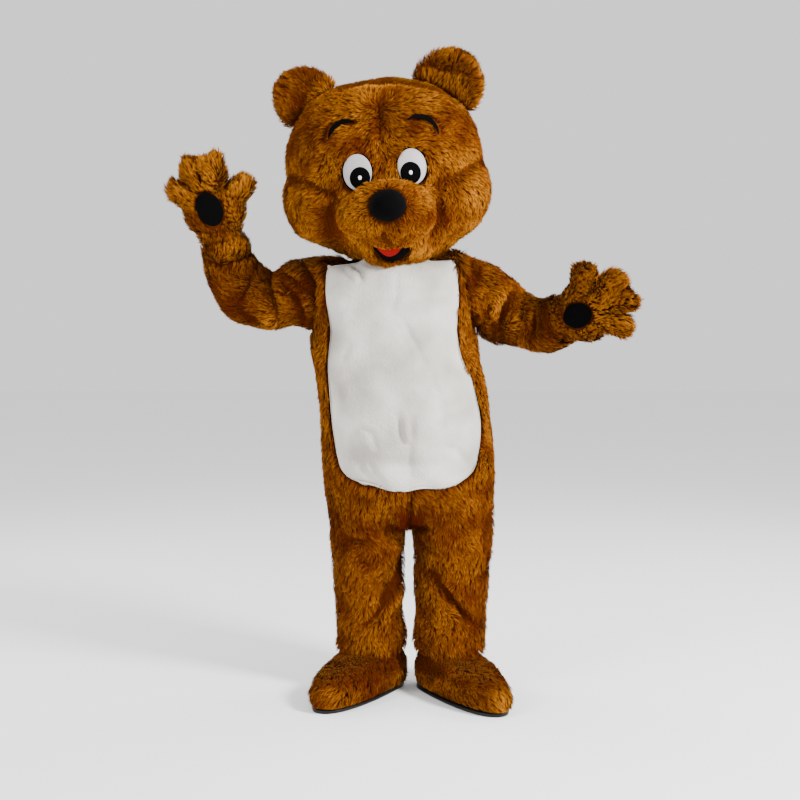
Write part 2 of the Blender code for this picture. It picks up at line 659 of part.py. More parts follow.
def foot_ring(label, toe, heel, half, height, inset):
    """A ring of the foot round the ankle, long towards the toe."""
    side = SIDES[label]
    leg = columns(LEGS, HEM)
    centre = np.array((leg[0], leg[1]) if side < 0 else (leg[3], leg[4]))
    out = TOE_OUT[label]
    ahead = np.array((side * math.sin(out), -math.cos(out)))
    aside = np.array((side * math.cos(out), math.sin(out)))
    turn = 2 * np.pi * np.arange(FOOT_STEPS) / FOOT_STEPS
    facing = np.stack((-side * np.cos(turn), -np.sin(turn)), axis=-1)
    a, b = facing @ ahead, facing @ aside
    angle = np.arctan2(b, a)
    c = np.sign(np.cos(angle)) * np.abs(np.cos(angle)) ** (2 / FOOT_POWER)
    s = np.sign(np.sin(angle)) * np.abs(np.sin(angle)) ** (2 / FOOT_POWER)
    length = np.where(c > 0, toe, heel) - inset
    flat = centre + (length * c)[:, None] * ahead + ((half - inset) * s)[:, None] * aside
    return np.column_stack((flat, np.full(FOOT_STEPS, height)))


def make_feet():
    for label in SIDES:
        layers = []
        for inset in (0.0, FUR_WALL):
            rings = [foot_ring(label, toe, heel, half, FLOOR + height, inset)
                     for height, toe, heel, half in FOOT]
            rings += [ankle_ring(label, HEM + rise, inset) for rise in (0.0, ANKLE_RISE)]
            rings[0] = rings[0] + (0, 0, SEAM)
            layers.append(np.array(rings))
        add_object(f"foot_{label}", *shell_mesh(*layers, True), "brown_fur")
        _, toe, heel, half = FOOT[0]
        ring = foot_ring(label, toe, heel, half, FLOOR, -SOLE_EDGE)
        top = ring + (0, 0, SOLE)
        points = np.concatenate((top, ring))
        n = FOOT_STEPS
        faces = [tuple(range(n)), tuple(range(2 * n - 1, n - 1, -1))]
        faces += [(i, (i + 1) % n, n + (i + 1) % n, n + i) for i in range(n)]
        add_object(f"sole_{label}", points, faces, "black_sole")


# Head.
HEAD_STEPS = 6
FRONT_ROWS, CHEEK_ROWS, BACK_ROWS = 7, 6, 12
WIDEST_ROW = 6


def head_points(side, turn, row, inset=0.0):
    """Points of one half of the head; row counts down the HEAD table from the crown."""
    turn, row = np.broadcast_arrays(np.asarray(turn, float), np.asarray(row, float))
    table = np.column_stack((np.arange(len(HEAD)), HEAD))
    up, half, front, back, power = np.moveaxis(columns(table, row), -1, 0)
    step = 0.02
    ahead, behind = columns(table, row + step), columns(table, row - step)
    rise, spread = ahead[..., 0] - behind[..., 0], ahead[..., 1] - behind[..., 1]
    length = np.hypot(rise, spread)
    out, lift = np.abs(rise) / length, np.where(row < WIDEST_ROW, 1, -1) * np.abs(spread) / length
    last = len(HEAD) - 1
    lift = np.where(row > last - 0.5, 0, lift)
    out = np.where(row > last - 0.5, 1, out)
    across, along = superellipse(turn, power)
    depth = np.where(along > 0, front, back)
    x = side * (half - np.minimum(inset * out, half)) * across
    y = -(depth - np.minimum(inset * out, depth)) * along
    local = np.stack((x, y, up - inset * lift), axis=-1)
    return place_head(local)


def head_row(height):
    """The row of the HEAD table at a local height."""
    rows = np.linspace(0, len(HEAD) - 1, 400)
    table = np.column_stack((np.arange(len(HEAD)), HEAD))
    heights = columns(table, rows)[:, 0]
    return np.interp(-np.asarray(height, float), -heights, rows)


def head_panel(name, side, turn_a, turn_b, row_top, row_bottom, count):
    """A panel of the head between two turns, and between two rows given at each turn."""
    turn = np.linspace(turn_a, turn_b, HEAD_STEPS + 1)[None, :]
    down = np.linspace(0, 1, count + 1)[:, None]
    row = row_top(turn) * (1 - down) + row_bottom(turn) * down
    turn = np.broadcast_to(turn, row.shape)
    sides = ((1, 0), (1, -1), (0, 0), (0, -1))
    outer = pull_back(head_points(side, turn, row), sides)
    inner = pull_back(head_points(side, turn, row, FUR_WALL), sides)
    add_object(name, *shell_mesh(outer, inner, False), "brown_fur")


def make_head():
    last = len(HEAD) - 1
    seam = np.array(CHEEK_SEAM)

    def crown(turn):
        return 0 * turn

    def rim(turn):
        return 0 * turn + last

    def cheek(turn):
        return head_row(np.interp(turn, seam[:, 0], seam[:, 1]))

    for label, side in SIDES.items():
        head_panel(f"head_front_{label}", side, 0, 0.5, crown, cheek, FRONT_ROWS)
        head_panel(f"cheek_{label}", side, 0, 0.5, cheek, rim, CHEEK_ROWS)
        head_panel(f"head_back_{label}", side, 0.5, 1, crown, rim, BACK_ROWS)


# Muzzle: a pillow on the face, and the nose on the muzzle.
MUZZLE = (-0.006, -0.114)
MUZZLE_HALF, MUZZLE_TALL, MUZZLE_OUT = 0.130, 0.094, 0.112
NOSE = (-0.002, -0.093)
NOSE_HALF, NOSE_TALL, NOSE_OUT = 0.048, 0.042, 0.046
NOSE_LIFT = 0.0012
FACE_CLEAR = 0.0035
MUZZLE_RINGS, MUZZLE_SPOKES = (1.0, 0.96, 0.84, 0.62, 0.34, 0.0), 26
NOSE_RINGS, NOSE_SPOKES = (1.0, 0.94, 0.78, 0.45, 0.0), 22
FACE_RINGS, FACE_SPOKES = (1.0, 0.6, 0.0), 24
TRIM_SPOKES = 48
CHIN_FOLD, CHIN_FOLD_WIDTH = 0.020, 0.12


def face_depth(across, up):
    """How far forward the face panels stand at a local place."""
    row = head_row(up)
    table = np.column_stack((np.arange(len(HEAD)), HEAD))
    _, half, front, _, power = np.moveaxis(columns(table, row), -1, 0)
    part = np.clip(np.abs(across) / half, 0, 0.999)
    return front * (1 - part**power) ** (1 / power)


def muzzle_depth(across, up, inset=0.0):
    """How far forward the muzzle stands: two lobes with a soft fold under the nose."""
    u = (np.asarray(across) - MUZZLE[0]) / (MUZZLE_HALF - inset)
    v = (np.asarray(up) - MUZZLE[1]) / (MUZZLE_TALL - inset)
    out = np.hypot(u, v)
    swell = (MUZZLE_OUT - inset) * np.clip(1 - out**2.6, 0, 1) ** 0.5
    below = np.clip(-v, 0, 1)
    fold = CHIN_FOLD * np.exp(-((u / CHIN_FOLD_WIDTH) ** 2)) * below
    base = face_depth(np.asarray(across), np.asarray(up))
    return base + (swell - fold * np.clip(1 - out**4, 0, 1)) + FACE_CLEAR


def dome(name, middle, half, tall, front, back, finish, rings=FACE_RINGS, spokes=FACE_SPOKES):
    """A closed piece between two depths over an oval of the face."""
    spin = np.linspace(0, 2 * np.pi, spokes, endpoint=False)
    layers = []
    for surface in (front, back):
        rows = []
        for ring in rings:
            across = middle[0] + half * ring * np.cos(spin)
            up = middle[1] + tall * ring * np.sin(spin)
            rows.append(np.column_stack((across, -surface(across, up), up)))
        layers.append(place_head(np.array(rows)))
    return add_object(name, *polar_mesh(*layers), finish)


def make_muzzle():
    spin = np.linspace(0, 2 * np.pi, MUZZLE_SPOKES, endpoint=False)
    layers = []
    for inset in (0.0, FUR_WALL):
        rows = []
        for ring in MUZZLE_RINGS:
            across = MUZZLE[0] + (MUZZLE_HALF - inset) * ring * np.cos(spin)
            up = MUZZLE[1] + (MUZZLE_TALL - inset) * ring * np.sin(spin)
            rows.append(np.column_stack((across, -muzzle_depth(across, up, inset), up)))
        layers.append(place_head(np.array(rows)))
    add_object("muzzle", *polar_mesh(*layers), "brown_fur")

    def nose_front(across, up):
        out = np.hypot((across - NOSE[0]) / NOSE_HALF, (up - NOSE[1]) / NOSE_TALL)
        return nose_back(across, up) + NOSE_LIFT + NOSE_OUT * np.clip(1 - out**2.4, 0, 1) ** 0.5

    def nose_back(across, up):
        return muzzle_depth(across, up) + NOSE_LIFT

    dome("nose", NOSE, NOSE_HALF, NOSE_TALL, nose_front, nose_back, "black_felt", NOSE_RINGS,
         NOSE_SPOKES)


# Face: ovals and arcs cut from felt, in the head's local places.
EYE = (0.072, 0.008)
EYE_HALF, EYE_TALL = 0.039, 0.049
RIM_WIDTH = 0.0035
PUPIL_SHIFT = (0.005, -0.016)
PUPIL_HALF, PUPIL_TALL = 0.028, 0.030
LIGHT_HALF, LIGHT_TALL, LIGHT_SPOKES = 0.005, 0.006, 12
EYE_BULGE = 0.007
# Each layer of the eye: how far its back and its front stand off the face.
RIM_LIFT, WHITE_LIFT = (0.0009, 0.0024), (0.0030, 0.0050)
PUPIL_LIFT, LIGHT_LIFT = (0.0058, 0.0075), (0.0082, 0.0095)
BROW_CLEAR, BROW_LIFT, BROW_STEPS = 0.0015, 0.0047, 14


def lifted(amount):
    def surface(across, up):
        return face_depth(across, up) + amount
    return surface


def eye_surface(middle, amount):
    """The eye white bulges a little from the face."""
    def surface(across, up):
        out = np.hypot((across - middle[0]) / EYE_HALF, (up - middle[1]) / EYE_TALL)
        return face_depth(across, up) + amount + EYE_BULGE * np.clip(1 - out**2, 0, 1) ** 0.6
    return surface


def muzzle_cutter():
    """A solid a little larger than the muzzle, to trim the eyes that it covers."""
    spread = 2.5 * FACE_CLEAR

    def front(across, up):
        return muzzle_depth(across, up) + NOSE_OUT

    def back(across, up):
        return face_depth(across, up) - FUR_WALL

    cutter = dome("muzzle_trim", MUZZLE, MUZZLE_HALF + spread, MUZZLE_TALL + spread, front, back,
                  "brown_fur", spokes=TRIM_SPOKES)
    cutter.hide_render = True
    cutter.display_type = "WIRE"
    return cutter


def trim_with(piece, cutter):
    """Cuts a piece by a solid that stays out of the part."""
    trim = piece.modifiers.new("trim", "BOOLEAN")
    trim.operation = "DIFFERENCE"
    trim.object = cutter


def make_eyes():
    cutter = muzzle_cutter()
    for label, side in SIDES.items():
        middle = (side * EYE[0], EYE[1])
        rim = dome(f"eye_rim_{label}", middle, EYE_HALF + RIM_WIDTH, EYE_TALL + RIM_WIDTH,
                   lifted(RIM_LIFT[1]), lifted(RIM_LIFT[0]), "black_felt")
        white = dome(f"eye_white_{label}", middle, EYE_HALF, EYE_TALL,
                     eye_surface(middle, WHITE_LIFT[1]), lifted(WHITE_LIFT[0]), "white_vinyl")
        pupil = (middle[0] - side * PUPIL_SHIFT[0], middle[1] + PUPIL_SHIFT[1])
        iris = dome(f"eye_pupil_{label}", pupil, PUPIL_HALF, PUPIL_TALL,
                    eye_surface(middle, PUPIL_LIFT[1]), eye_surface(middle, PUPIL_LIFT[0]), "black_felt")
        for piece in (rim, white, iris):
            trim_with(piece, cutter)
        dome(f"eye_light_{label}", pupil, LIGHT_HALF, LIGHT_TALL, eye_surface(middle, LIGHT_LIFT[1]),
             eye_surface(middle, LIGHT_LIFT[0]), "white_vinyl", spokes=LIGHT_SPOKES)


# Brows: centre, radii of the arc, its two end angles, widest half width.
BROWS = {
    "left": (-0.092, 0.098, 0.048, 0.049, 170.0, 58.0, 0.0066),
    "right": (0.100, 0.085, 0.052, 0.056, 121.0, 4.0, 0.0066),
}


def face_surface():
    """The forehead panels as one surface to lay pieces on."""
    points, faces = [], []
    for label in SIDES:
        mesh = bpy.data.objects[f"head_front_{label}"].data
        start = len(points)
        points += [v.co.copy() for v in mesh.vertices]
        faces += [tuple(start + i for i in f.vertices) for f in mesh.polygons]
    return BVHTree.FromPolygons(points, faces)


def make_brows():
    surface = face_surface()
    ahead = Vector(head_frame()[:3, 1])
    for label, (x, z, half, tall, start, stop, width) in BROWS.items():
        along = np.linspace(0, 1, BROW_STEPS + 1)
        angle = np.radians(start + (stop - start) * along)
        wide = width * (0.12 + 0.88 * np.sin(np.pi * along) ** 0.7)
        layers = []
        for lift in (BROW_LIFT, BROW_CLEAR):
            rows = []
            for part in (1.0, -1.0):
                across = x + (half + part * wide) * np.cos(angle)
                up = z + (tall + part * wide) * np.sin(angle)
                flat = place_head(np.column_stack((across, 0 * across, up)))
                hits = [surface.ray_cast(Vector(p) - ahead, ahead)[0] for p in flat]
                rows.append(np.array(hits) - np.array(ahead) * lift)
            layers.append(np.array(rows))
        add_object(f"brow_{label}", *shell_mesh(*layers, False), "black_felt")


# Mouth: a dark crescent under the muzzle with a red tongue on it.
MOUTH, TONGUE = (-0.003, -0.200), (-0.008, -0.200)
MOUTH_HALF, MOUTH_DROP, MOUTH_RISE = 0.058, 0.029, 0.008
TONGUE_HALF, TONGUE_DROP = 0.038, 0.021
MOUTH_LIFT, TONGUE_LIFT = (0.0012, 0.0032), (0.0038, 0.0060)
MOUTH_EDGE, MOUTH_STEPS = 0.0015, 12


def crescent(name, middle, half, drop, lift, finish):
    """A piece with a nearly straight top and a round bottom, between two lifts off the face."""
    across_part = np.linspace(-1, 1, MOUTH_STEPS + 1)
    layers = []
    for level in lift[::-1]:
        rows = []
        for part in (1.0, 0.5, 0.0):
            across = middle[0] + half * across_part
            top = middle[1] + MOUTH_RISE * across_part**2
            bottom = top - drop * (1 - across_part**2) - MOUTH_EDGE
            up = top * part + bottom * (1 - part)
            rows.append(np.column_stack((across, -face_depth(across, up) - level, up)))
        layers.append(place_head(np.array(rows)))
    trim_with(add_object(name, *shell_mesh(*layers, False), finish), bpy.data.objects["muzzle_trim"])


def make_mouth():
    crescent("mouth", MOUTH, MOUTH_HALF, MOUTH_DROP, MOUTH_LIFT, "black_felt")
    crescent("tongue", TONGUE, TONGUE_HALF, TONGUE_DROP, TONGUE_LIFT, "red_felt")


# Ears: turn from the crown, distance from the head's middle, radius.
EARS = {"left": (39.0, 0.316, 0.089), "right": (39.0, 0.318, 0.097)}
EAR_FRONT, EAR_CUP, EAR_BACK = 0.030, 0.022, 0.040
EAR_SPOKES = 22
EAR_RINGS = (1.0, 0.94, 0.78, 0.50, 0.0)
HEAD_TRIM_STEPS = 24


def ear_layer(label, face, inset):
    """One side of an ear as a polar grid: face 1 is the cupped front, -1 the round back."""
    side = SIDES[label]
    lean, away, radius = EARS[label]
    lean = math.radians(lean) * side
    middle = np.array((away * math.sin(lean), 0.0, away * math.cos(lean)))
    aside = np.array((math.cos(lean), 0.0, -math.sin(lean)))
    outward = np.array((math.sin(lean), 0.0, math.cos(lean)))
    spin = 2 * np.pi * np.arange(EAR_SPOKES) / EAR_SPOKES
    rows = []
    for ring in EAR_RINGS:
        swell = math.sqrt(1 - ring**3)
        if face > 0:
            depth = (EAR_FRONT - inset) * swell - EAR_CUP * (1 - smooth_step(0.15, 0.85, ring)) * 0.8
        else:
            depth = (EAR_BACK - inset) * swell
        flat = (radius - inset) * ring
        rows.append(
            middle
            + (flat * np.sin(spin))[:, None] * aside
            + (flat * np.cos(spin))[:, None] * outward
            + np.array((0, -face * (depth + SEAM * 0.55), 0))
        )
    return place_head(np.array(rows))


def head_cutter():
    """A solid a seam larger than the head, to trim what sits on it."""
    n = HEAD_TRIM_STEPS
    half_turn = np.linspace(0, 1, n // 2 + 1)
    turn = np.concatenate((half_turn, half_turn[-2:0:-1]))
    on_right = (np.arange(n) <= n // 2)[:, None]
    grid = []
    for row in np.linspace(0, len(HEAD) - 1, n + 1):
        right = head_points(1, turn, row, -2.5 * SEAM)
        left = head_points(-1, turn, row, -2.5 * SEAM)
        grid.append(np.where(on_right, right, left))
    points = np.array(grid).reshape(-1, 3)
    faces = [(r * n + c, r * n + (c + 1) % n, (r + 1) * n + (c + 1) % n, (r + 1) * n + c)
             for r in range(n) for c in range(n)]
    faces += [tuple(range(n)), tuple(range(n * n, n * n + n))]
    cutter = add_object("head_trim", points, faces, "brown_fur")
    cutter.hide_render = True
    cutter.display_type = "WIRE"
    return cutter


def make_ears():
    cutter = head_cutter()
    for label in SIDES:
        for name, face in (("front", 1), ("back", -1)):
            outer, inner = ear_layer(label, face, 0.0), ear_layer(label, face, FUR_WALL)
            trim_with(add_object(f"ear_{label}_{name}", *polar_mesh(outer, inner), "brown_fur"), cutter)


def main():
    for old in list(bpy.data.objects):
        bpy.data.objects.remove(old, do_unlink=True)
    make_suit()
    make_sleeves()
    make_gloves()
    make_feet()
    make_head()
    make_muzzle()
    make_eyes()
    make_brows()
    make_mouth()
    make_ears()


main()
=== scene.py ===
"""Looks of the bear mascot costume: fur skins with their pile, plush, felt, vinyl and rubber.

Metres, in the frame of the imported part. Left and right are seen from the front.
"""

import math

import bmesh
import bpy
import numpy as np
from mathutils import Matrix, Vector
from mathutils.bvhtree import BVHTree
from mathutils.kdtree import KDTree


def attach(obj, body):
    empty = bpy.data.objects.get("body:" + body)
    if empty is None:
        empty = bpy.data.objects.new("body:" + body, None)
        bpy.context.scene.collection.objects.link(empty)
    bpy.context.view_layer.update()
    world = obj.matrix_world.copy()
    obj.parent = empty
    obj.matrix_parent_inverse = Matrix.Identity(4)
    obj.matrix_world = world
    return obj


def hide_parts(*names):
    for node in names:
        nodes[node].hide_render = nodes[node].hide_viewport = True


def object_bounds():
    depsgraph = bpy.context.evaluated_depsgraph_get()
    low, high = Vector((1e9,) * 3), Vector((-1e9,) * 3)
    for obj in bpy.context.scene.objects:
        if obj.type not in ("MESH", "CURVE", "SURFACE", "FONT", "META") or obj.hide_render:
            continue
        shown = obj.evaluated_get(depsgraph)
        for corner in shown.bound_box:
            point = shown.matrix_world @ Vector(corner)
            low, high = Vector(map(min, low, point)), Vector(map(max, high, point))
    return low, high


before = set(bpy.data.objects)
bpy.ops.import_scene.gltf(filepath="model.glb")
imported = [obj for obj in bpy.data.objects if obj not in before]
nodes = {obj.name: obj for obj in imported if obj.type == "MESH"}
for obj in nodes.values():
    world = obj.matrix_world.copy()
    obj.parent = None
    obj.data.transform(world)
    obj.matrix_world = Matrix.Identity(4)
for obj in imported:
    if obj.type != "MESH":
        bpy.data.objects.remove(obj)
cad_box = [list(corner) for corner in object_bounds()]
scene = bpy.context.scene
SIDES = {"left": -1, "right": 1}
FLOOR = round(cad_box[0][2], 3)
DOWN = np.array((0.0, 0.0, -1.0))
dice = np.random.default_rng(7)

# The head's own axes, which the face is laid out in: its middle, and its lean to the side.
HEAD = Matrix.Translation((-0.028, 0.0, 0.157)) @ Matrix.Rotation(math.radians(-6), 4, "Y")
HEAD_PLACE, HEAD_TURN = np.array(HEAD)[:3, 3], np.array(HEAD)[:3, :3]
NOSE_PLACE = (-0.002, -0.093)

# The round chin line: how high it stands at either side, where it starts and stops to rise across,
# and the heights in the head's axes between which it fades out.
ARCH_LEFT, ARCH_RIGHT, ARCH_IN, ARCH_OUT = 0.034, 0.014, 0.015, 0.125
ARCH_TOP, ARCH_BASE = -0.120, -0.200


def smooth_step(low, high, at):
    """0 before low and 1 past high, with a soft change between; low may be the larger."""
    t = np.clip((at - low) / (high - low), 0, 1)
    return t * t * (3 - 2 * t)


def unit(vectors):
    """The same directions, each of length 1."""
    return vectors / np.linalg.norm(vectors, axis=1, keepdims=True)


def head_axes(points):
    """Places seen from the head's middle, across, back and up."""
    return (points - HEAD_PLACE) @ HEAD_TURN


def rim_arch(x):
    """How far the chin line stands up at a place across."""
    return np.where(x < 0, ARCH_LEFT, ARCH_RIGHT) * smooth_step(ARCH_IN, ARCH_OUT, abs(x))


def in_head(points):
    """Places in the head's own axes, with the round chin line laid straight."""
    local = head_axes(points)
    for _ in range(2):
        straight = np.array(points, float)
        straight[..., 2] -= rim_arch(straight[..., 0]) * smooth_step(ARCH_TOP, ARCH_BASE, local[..., 2])
        local = head_axes(straight)
    return local


# Finishes --------

def finish(name, colour, roughness, sheen=0.0, sheen_tint=(1, 1, 1), specular=0.5):
    """A Principled material, and its shader and node tree."""
    material = bpy.data.materials.new(name)
    material.use_nodes = True
    shader = material.node_tree.nodes["Principled BSDF"]
    shader.inputs["Base Color"].default_value = (*colour, 1)
    shader.inputs["Roughness"].default_value = roughness
    shader.inputs["Sheen Weight"].default_value = sheen
    shader.inputs["Sheen Tint"].default_value = (*sheen_tint, 1)
    shader.inputs["Specular IOR Level"].default_value = specular
    return material, shader, material.node_tree


def add_nap(shader, tree, scale, strength, distance, detail=4.0):
    """A fine bump on Object coordinates."""
    place = tree.nodes.new("ShaderNodeTexCoord")
    grain = tree.nodes.new("ShaderNodeTexNoise")
    grain.inputs["Scale"].default_value = scale
    grain.inputs["Detail"].default_value = detail
    bump = tree.nodes.new("ShaderNodeBump")
    bump.inputs["Strength"].default_value = strength
    bump.inputs["Distance"].default_value = distance
    tree.links.new(place.outputs["Object"], grain.inputs["Vector"])
    tree.links.new(grain.outputs["Fac"], bump.inputs["Height"])
    tree.links.new(bump.outputs["Normal"], shader.inputs["Normal"])


def mottle(shader, tree, grain_scale, dark, light):
    """A soft change between two colours on Object coordinates."""
    place = tree.nodes.new("ShaderNodeTexCoord")
    patch = tree.nodes.new("ShaderNodeTexNoise")
    patch.inputs["Scale"].default_value = grain_scale
    patch.inputs["Detail"].default_value = 3.0
    ramp = tree.nodes.new("ShaderNodeValToRGB")
    for end, position, colour in zip(ramp.color_ramp.elements, (0.35, 0.65), (dark, light)):
        end.position = position
        end.color = (*colour, 1)
    tree.links.new(place.outputs["Object"], patch.inputs["Vector"])
    tree.links.new(patch.outputs["Fac"], ramp.inputs["Fac"])
    tree.links.new(ramp.outputs["Color"], shader.inputs["Base Color"])


PILE_ATTRIBUTE = "pile_colour"


def pile_finish():
    """Silky pile, which takes each lock's colour from the attribute on its mesh."""
    material, shader, tree = finish("fur_pile", (0.13, 0.03, 0.001), 0.50, 0.10, (1.0, 0.50, 0.12), 0.0)
    shader.inputs["Specular Tint"].default_value = (1.0, 0.62, 0.25, 1)
    colour = tree.nodes.new("ShaderNodeAttribute")
    colour.attribute_name = PILE_ATTRIBUTE
    tree.links.new(colour.outputs["Color"], shader.inputs["Base Color"])
    return material


def plush_finish():
    """Short white plush, grey in soft patches: its own blotchy texture, and painted shade."""
    material, shader, tree = finish("white_plush", (0.54, 0.51, 0.46), 0.95, 0.2, specular=0.05)
    add_nap(shader, tree, 150.0, 0.8, 0.0035, 8.0)
    mottle(shader, tree, 6.5, (0.36, 0.335, 0.295), (0.60, 0.57, 0.52))
    return material


def napped(name, colour, roughness, specular, scale, strength, distance):
    """A plain finish with a fine nap: its grain, how strong it is and how deep."""
    material, shader, tree = finish(name, colour, roughness, specular=specular)
    add_nap(shader, tree, scale, strength, distance)
    return material


backing = finish("fur_backing", (0.070, 0.014, 0.001), 0.9, specular=0.02)[0]
pile = pile_finish()
plush = plush_finish()
felt = napped("black_felt", (0.0012, 0.0012, 0.0014), 0.95, 0.03, 900.0, 0.5, 0.0006)
vinyl = napped("white_vinyl", (0.35, 0.32, 0.32), 0.5, 0.3, 700.0, 0.08, 0.0004)
gloss = finish("eye_gloss", (0.80, 0.80, 0.80), 0.3)[0]
# The tongue's red felt is darkened, partly as painted shade under the muzzle.
red = napped("red_felt", (0.20, 0.0008, 0.0006), 0.85, 0.1, 900.0, 0.4, 0.0005)
rubber = napped("black_sole", (0.004, 0.004, 0.0045), 0.5, 0.25, 260.0, 0.2, 0.0006)


# Sheets of cloth from the solids --------
WELD = 2e-5
# A wall's rim turns more sharply than RIM_ANGLE; an edge's corner tighter than CORNER_ANGLE is kept.
RIM_ANGLE, CORNER_ANGLE = math.radians(55), math.radians(135)
# Triangles are joined into quads where they are about square.
SQUARE = math.radians(60)


def welded(node):
    """A solid's faces with their doubled corners merged."""
    bm = bmesh.new()
    bm.from_mesh(nodes[node].data)
    bmesh.ops.remove_doubles(bm, verts=bm.verts, dist=WELD)
    return bm


def join_quads(bm, bend):
    """Joins pairs of triangles that meet flatter than bend degrees."""
    bmesh.ops.join_triangles(
        bm, faces=bm.faces, angle_face_threshold=math.radians(bend), angle_shape_threshold=SQUARE
    )


def keep_corners(bm):
    """Marks the sharp corners of a sheet's open edges, which subdivision then leaves in place."""
    corners = bm.verts.layers.float.new("crease_vert")
    for vert in bm.verts:
        rims = [edge for edge in vert.link_edges if edge.is_boundary]
        if len(rims) == 2:
            a, b = (edge.other_vert(vert).co - vert.co for edge in rims)
            if a.angle(b) < CORNER_ANGLE:
                vert[corners] = 1.0


def outer_sheet(node):
    """The outer side of a solid's wall, as quads: the largest part that no rim interrupts."""
    bm = welded(node)
    bm.faces.index_update()
    left = {face.index: face for face in bm.faces}
    best, best_area = set(), 0.0
    while left:
        stack = [left.pop(min(left))]
        sheet, area = set(), 0.0
        while stack:
            face = stack.pop()
            sheet.add(face.index)
            area += face.calc_area()
            for edge in face.edges:
                if edge.is_manifold and edge.calc_face_angle() < RIM_ANGLE:
                    for other in edge.link_faces:
                        if other.index in left:
                            stack.append(left.pop(other.index))
        if area > best_area:
            best, best_area = sheet, area
    bmesh.ops.delete(bm, geom=[f for f in bm.faces if f.index not in best], context="FACES")
    join_quads(bm, 45)
    keep_corners(bm)
    return bm


def link(name, mesh, material):
    """A piece of the object from a mesh, in its place."""
    piece = bpy.data.objects.new(name, mesh)
    scene.collection.objects.link(piece)
    mesh.materials.clear()
    mesh.materials.append(material)
    mesh.shade_smooth()
    return piece


def round_out(piece, levels):
    """Subdivides a piece for good."""
    soft = piece.modifiers.new("round", "SUBSURF")
    soft.levels = soft.render_levels = levels
    soft.boundary_smooth = "PRESERVE_CORNERS"
    depsgraph = bpy.context.evaluated_depsgraph_get()
    mesh = bpy.data.meshes.new_from_object(piece.evaluated_get(depsgraph))
    piece.modifiers.clear()
    piece.data = mesh
    return piece


def bmesh_piece(name, bm, material, levels=0):
    """A piece from a bmesh, subdivided where levels asks for it."""
    mesh = bpy.data.meshes.new(name)
    bm.to_mesh(mesh)
    bm.free()
    piece = link(name, mesh, material)
    return round_out(piece, levels) if levels else piece


def stand_for(node, piece):
    """Shows a piece in the place of a solid."""
    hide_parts(node)
    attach(piece, "root")
    return piece


def places(piece):
    """A piece's points and its normals, as arrays."""
    mesh = piece.data
    points = np.empty(len(mesh.vertices) * 3)
    normals = np.empty(len(mesh.vertices) * 3)
    mesh.vertices.foreach_get("co", points)
    mesh.vertex_normals.foreach_get("vector", normals)
    return points.reshape(-1, 3), normals.reshape(-1, 3)


def put(piece, points):
    """Moves a piece's points to new places."""
    piece.data.vertices.foreach_set("co", points.ravel())
    piece.data.update()


def edge_nearness(piece, reach):
    """1 on the piece's open edges, falling to 0 away from them."""
    bm = bmesh.new()
    bm.from_mesh(piece.data)
    rims = [v.co.copy() for v in bm.verts if v.is_boundary]
    bm.free()
    tree = KDTree(len(rims))
    for i, rim in enumerate(rims):
        tree.insert(rim, i)
    tree.balance()
    away = np.array([tree.find(v.co)[2] for v in piece.data.vertices])
    return np.exp(-((away / reach) ** 2))


# Where the front of the head turns over to the crown: places across and up.
CROWN_LINE = (
    (-0.150, 0.378), (-0.099, 0.388), (-0.044, 0.390), (0.020, 0.389), (0.102, 0.382), (0.166, 0.366),
)
ABOVE_CROWN = [(across, up + 0.010) for across, up in CROWN_LINE]
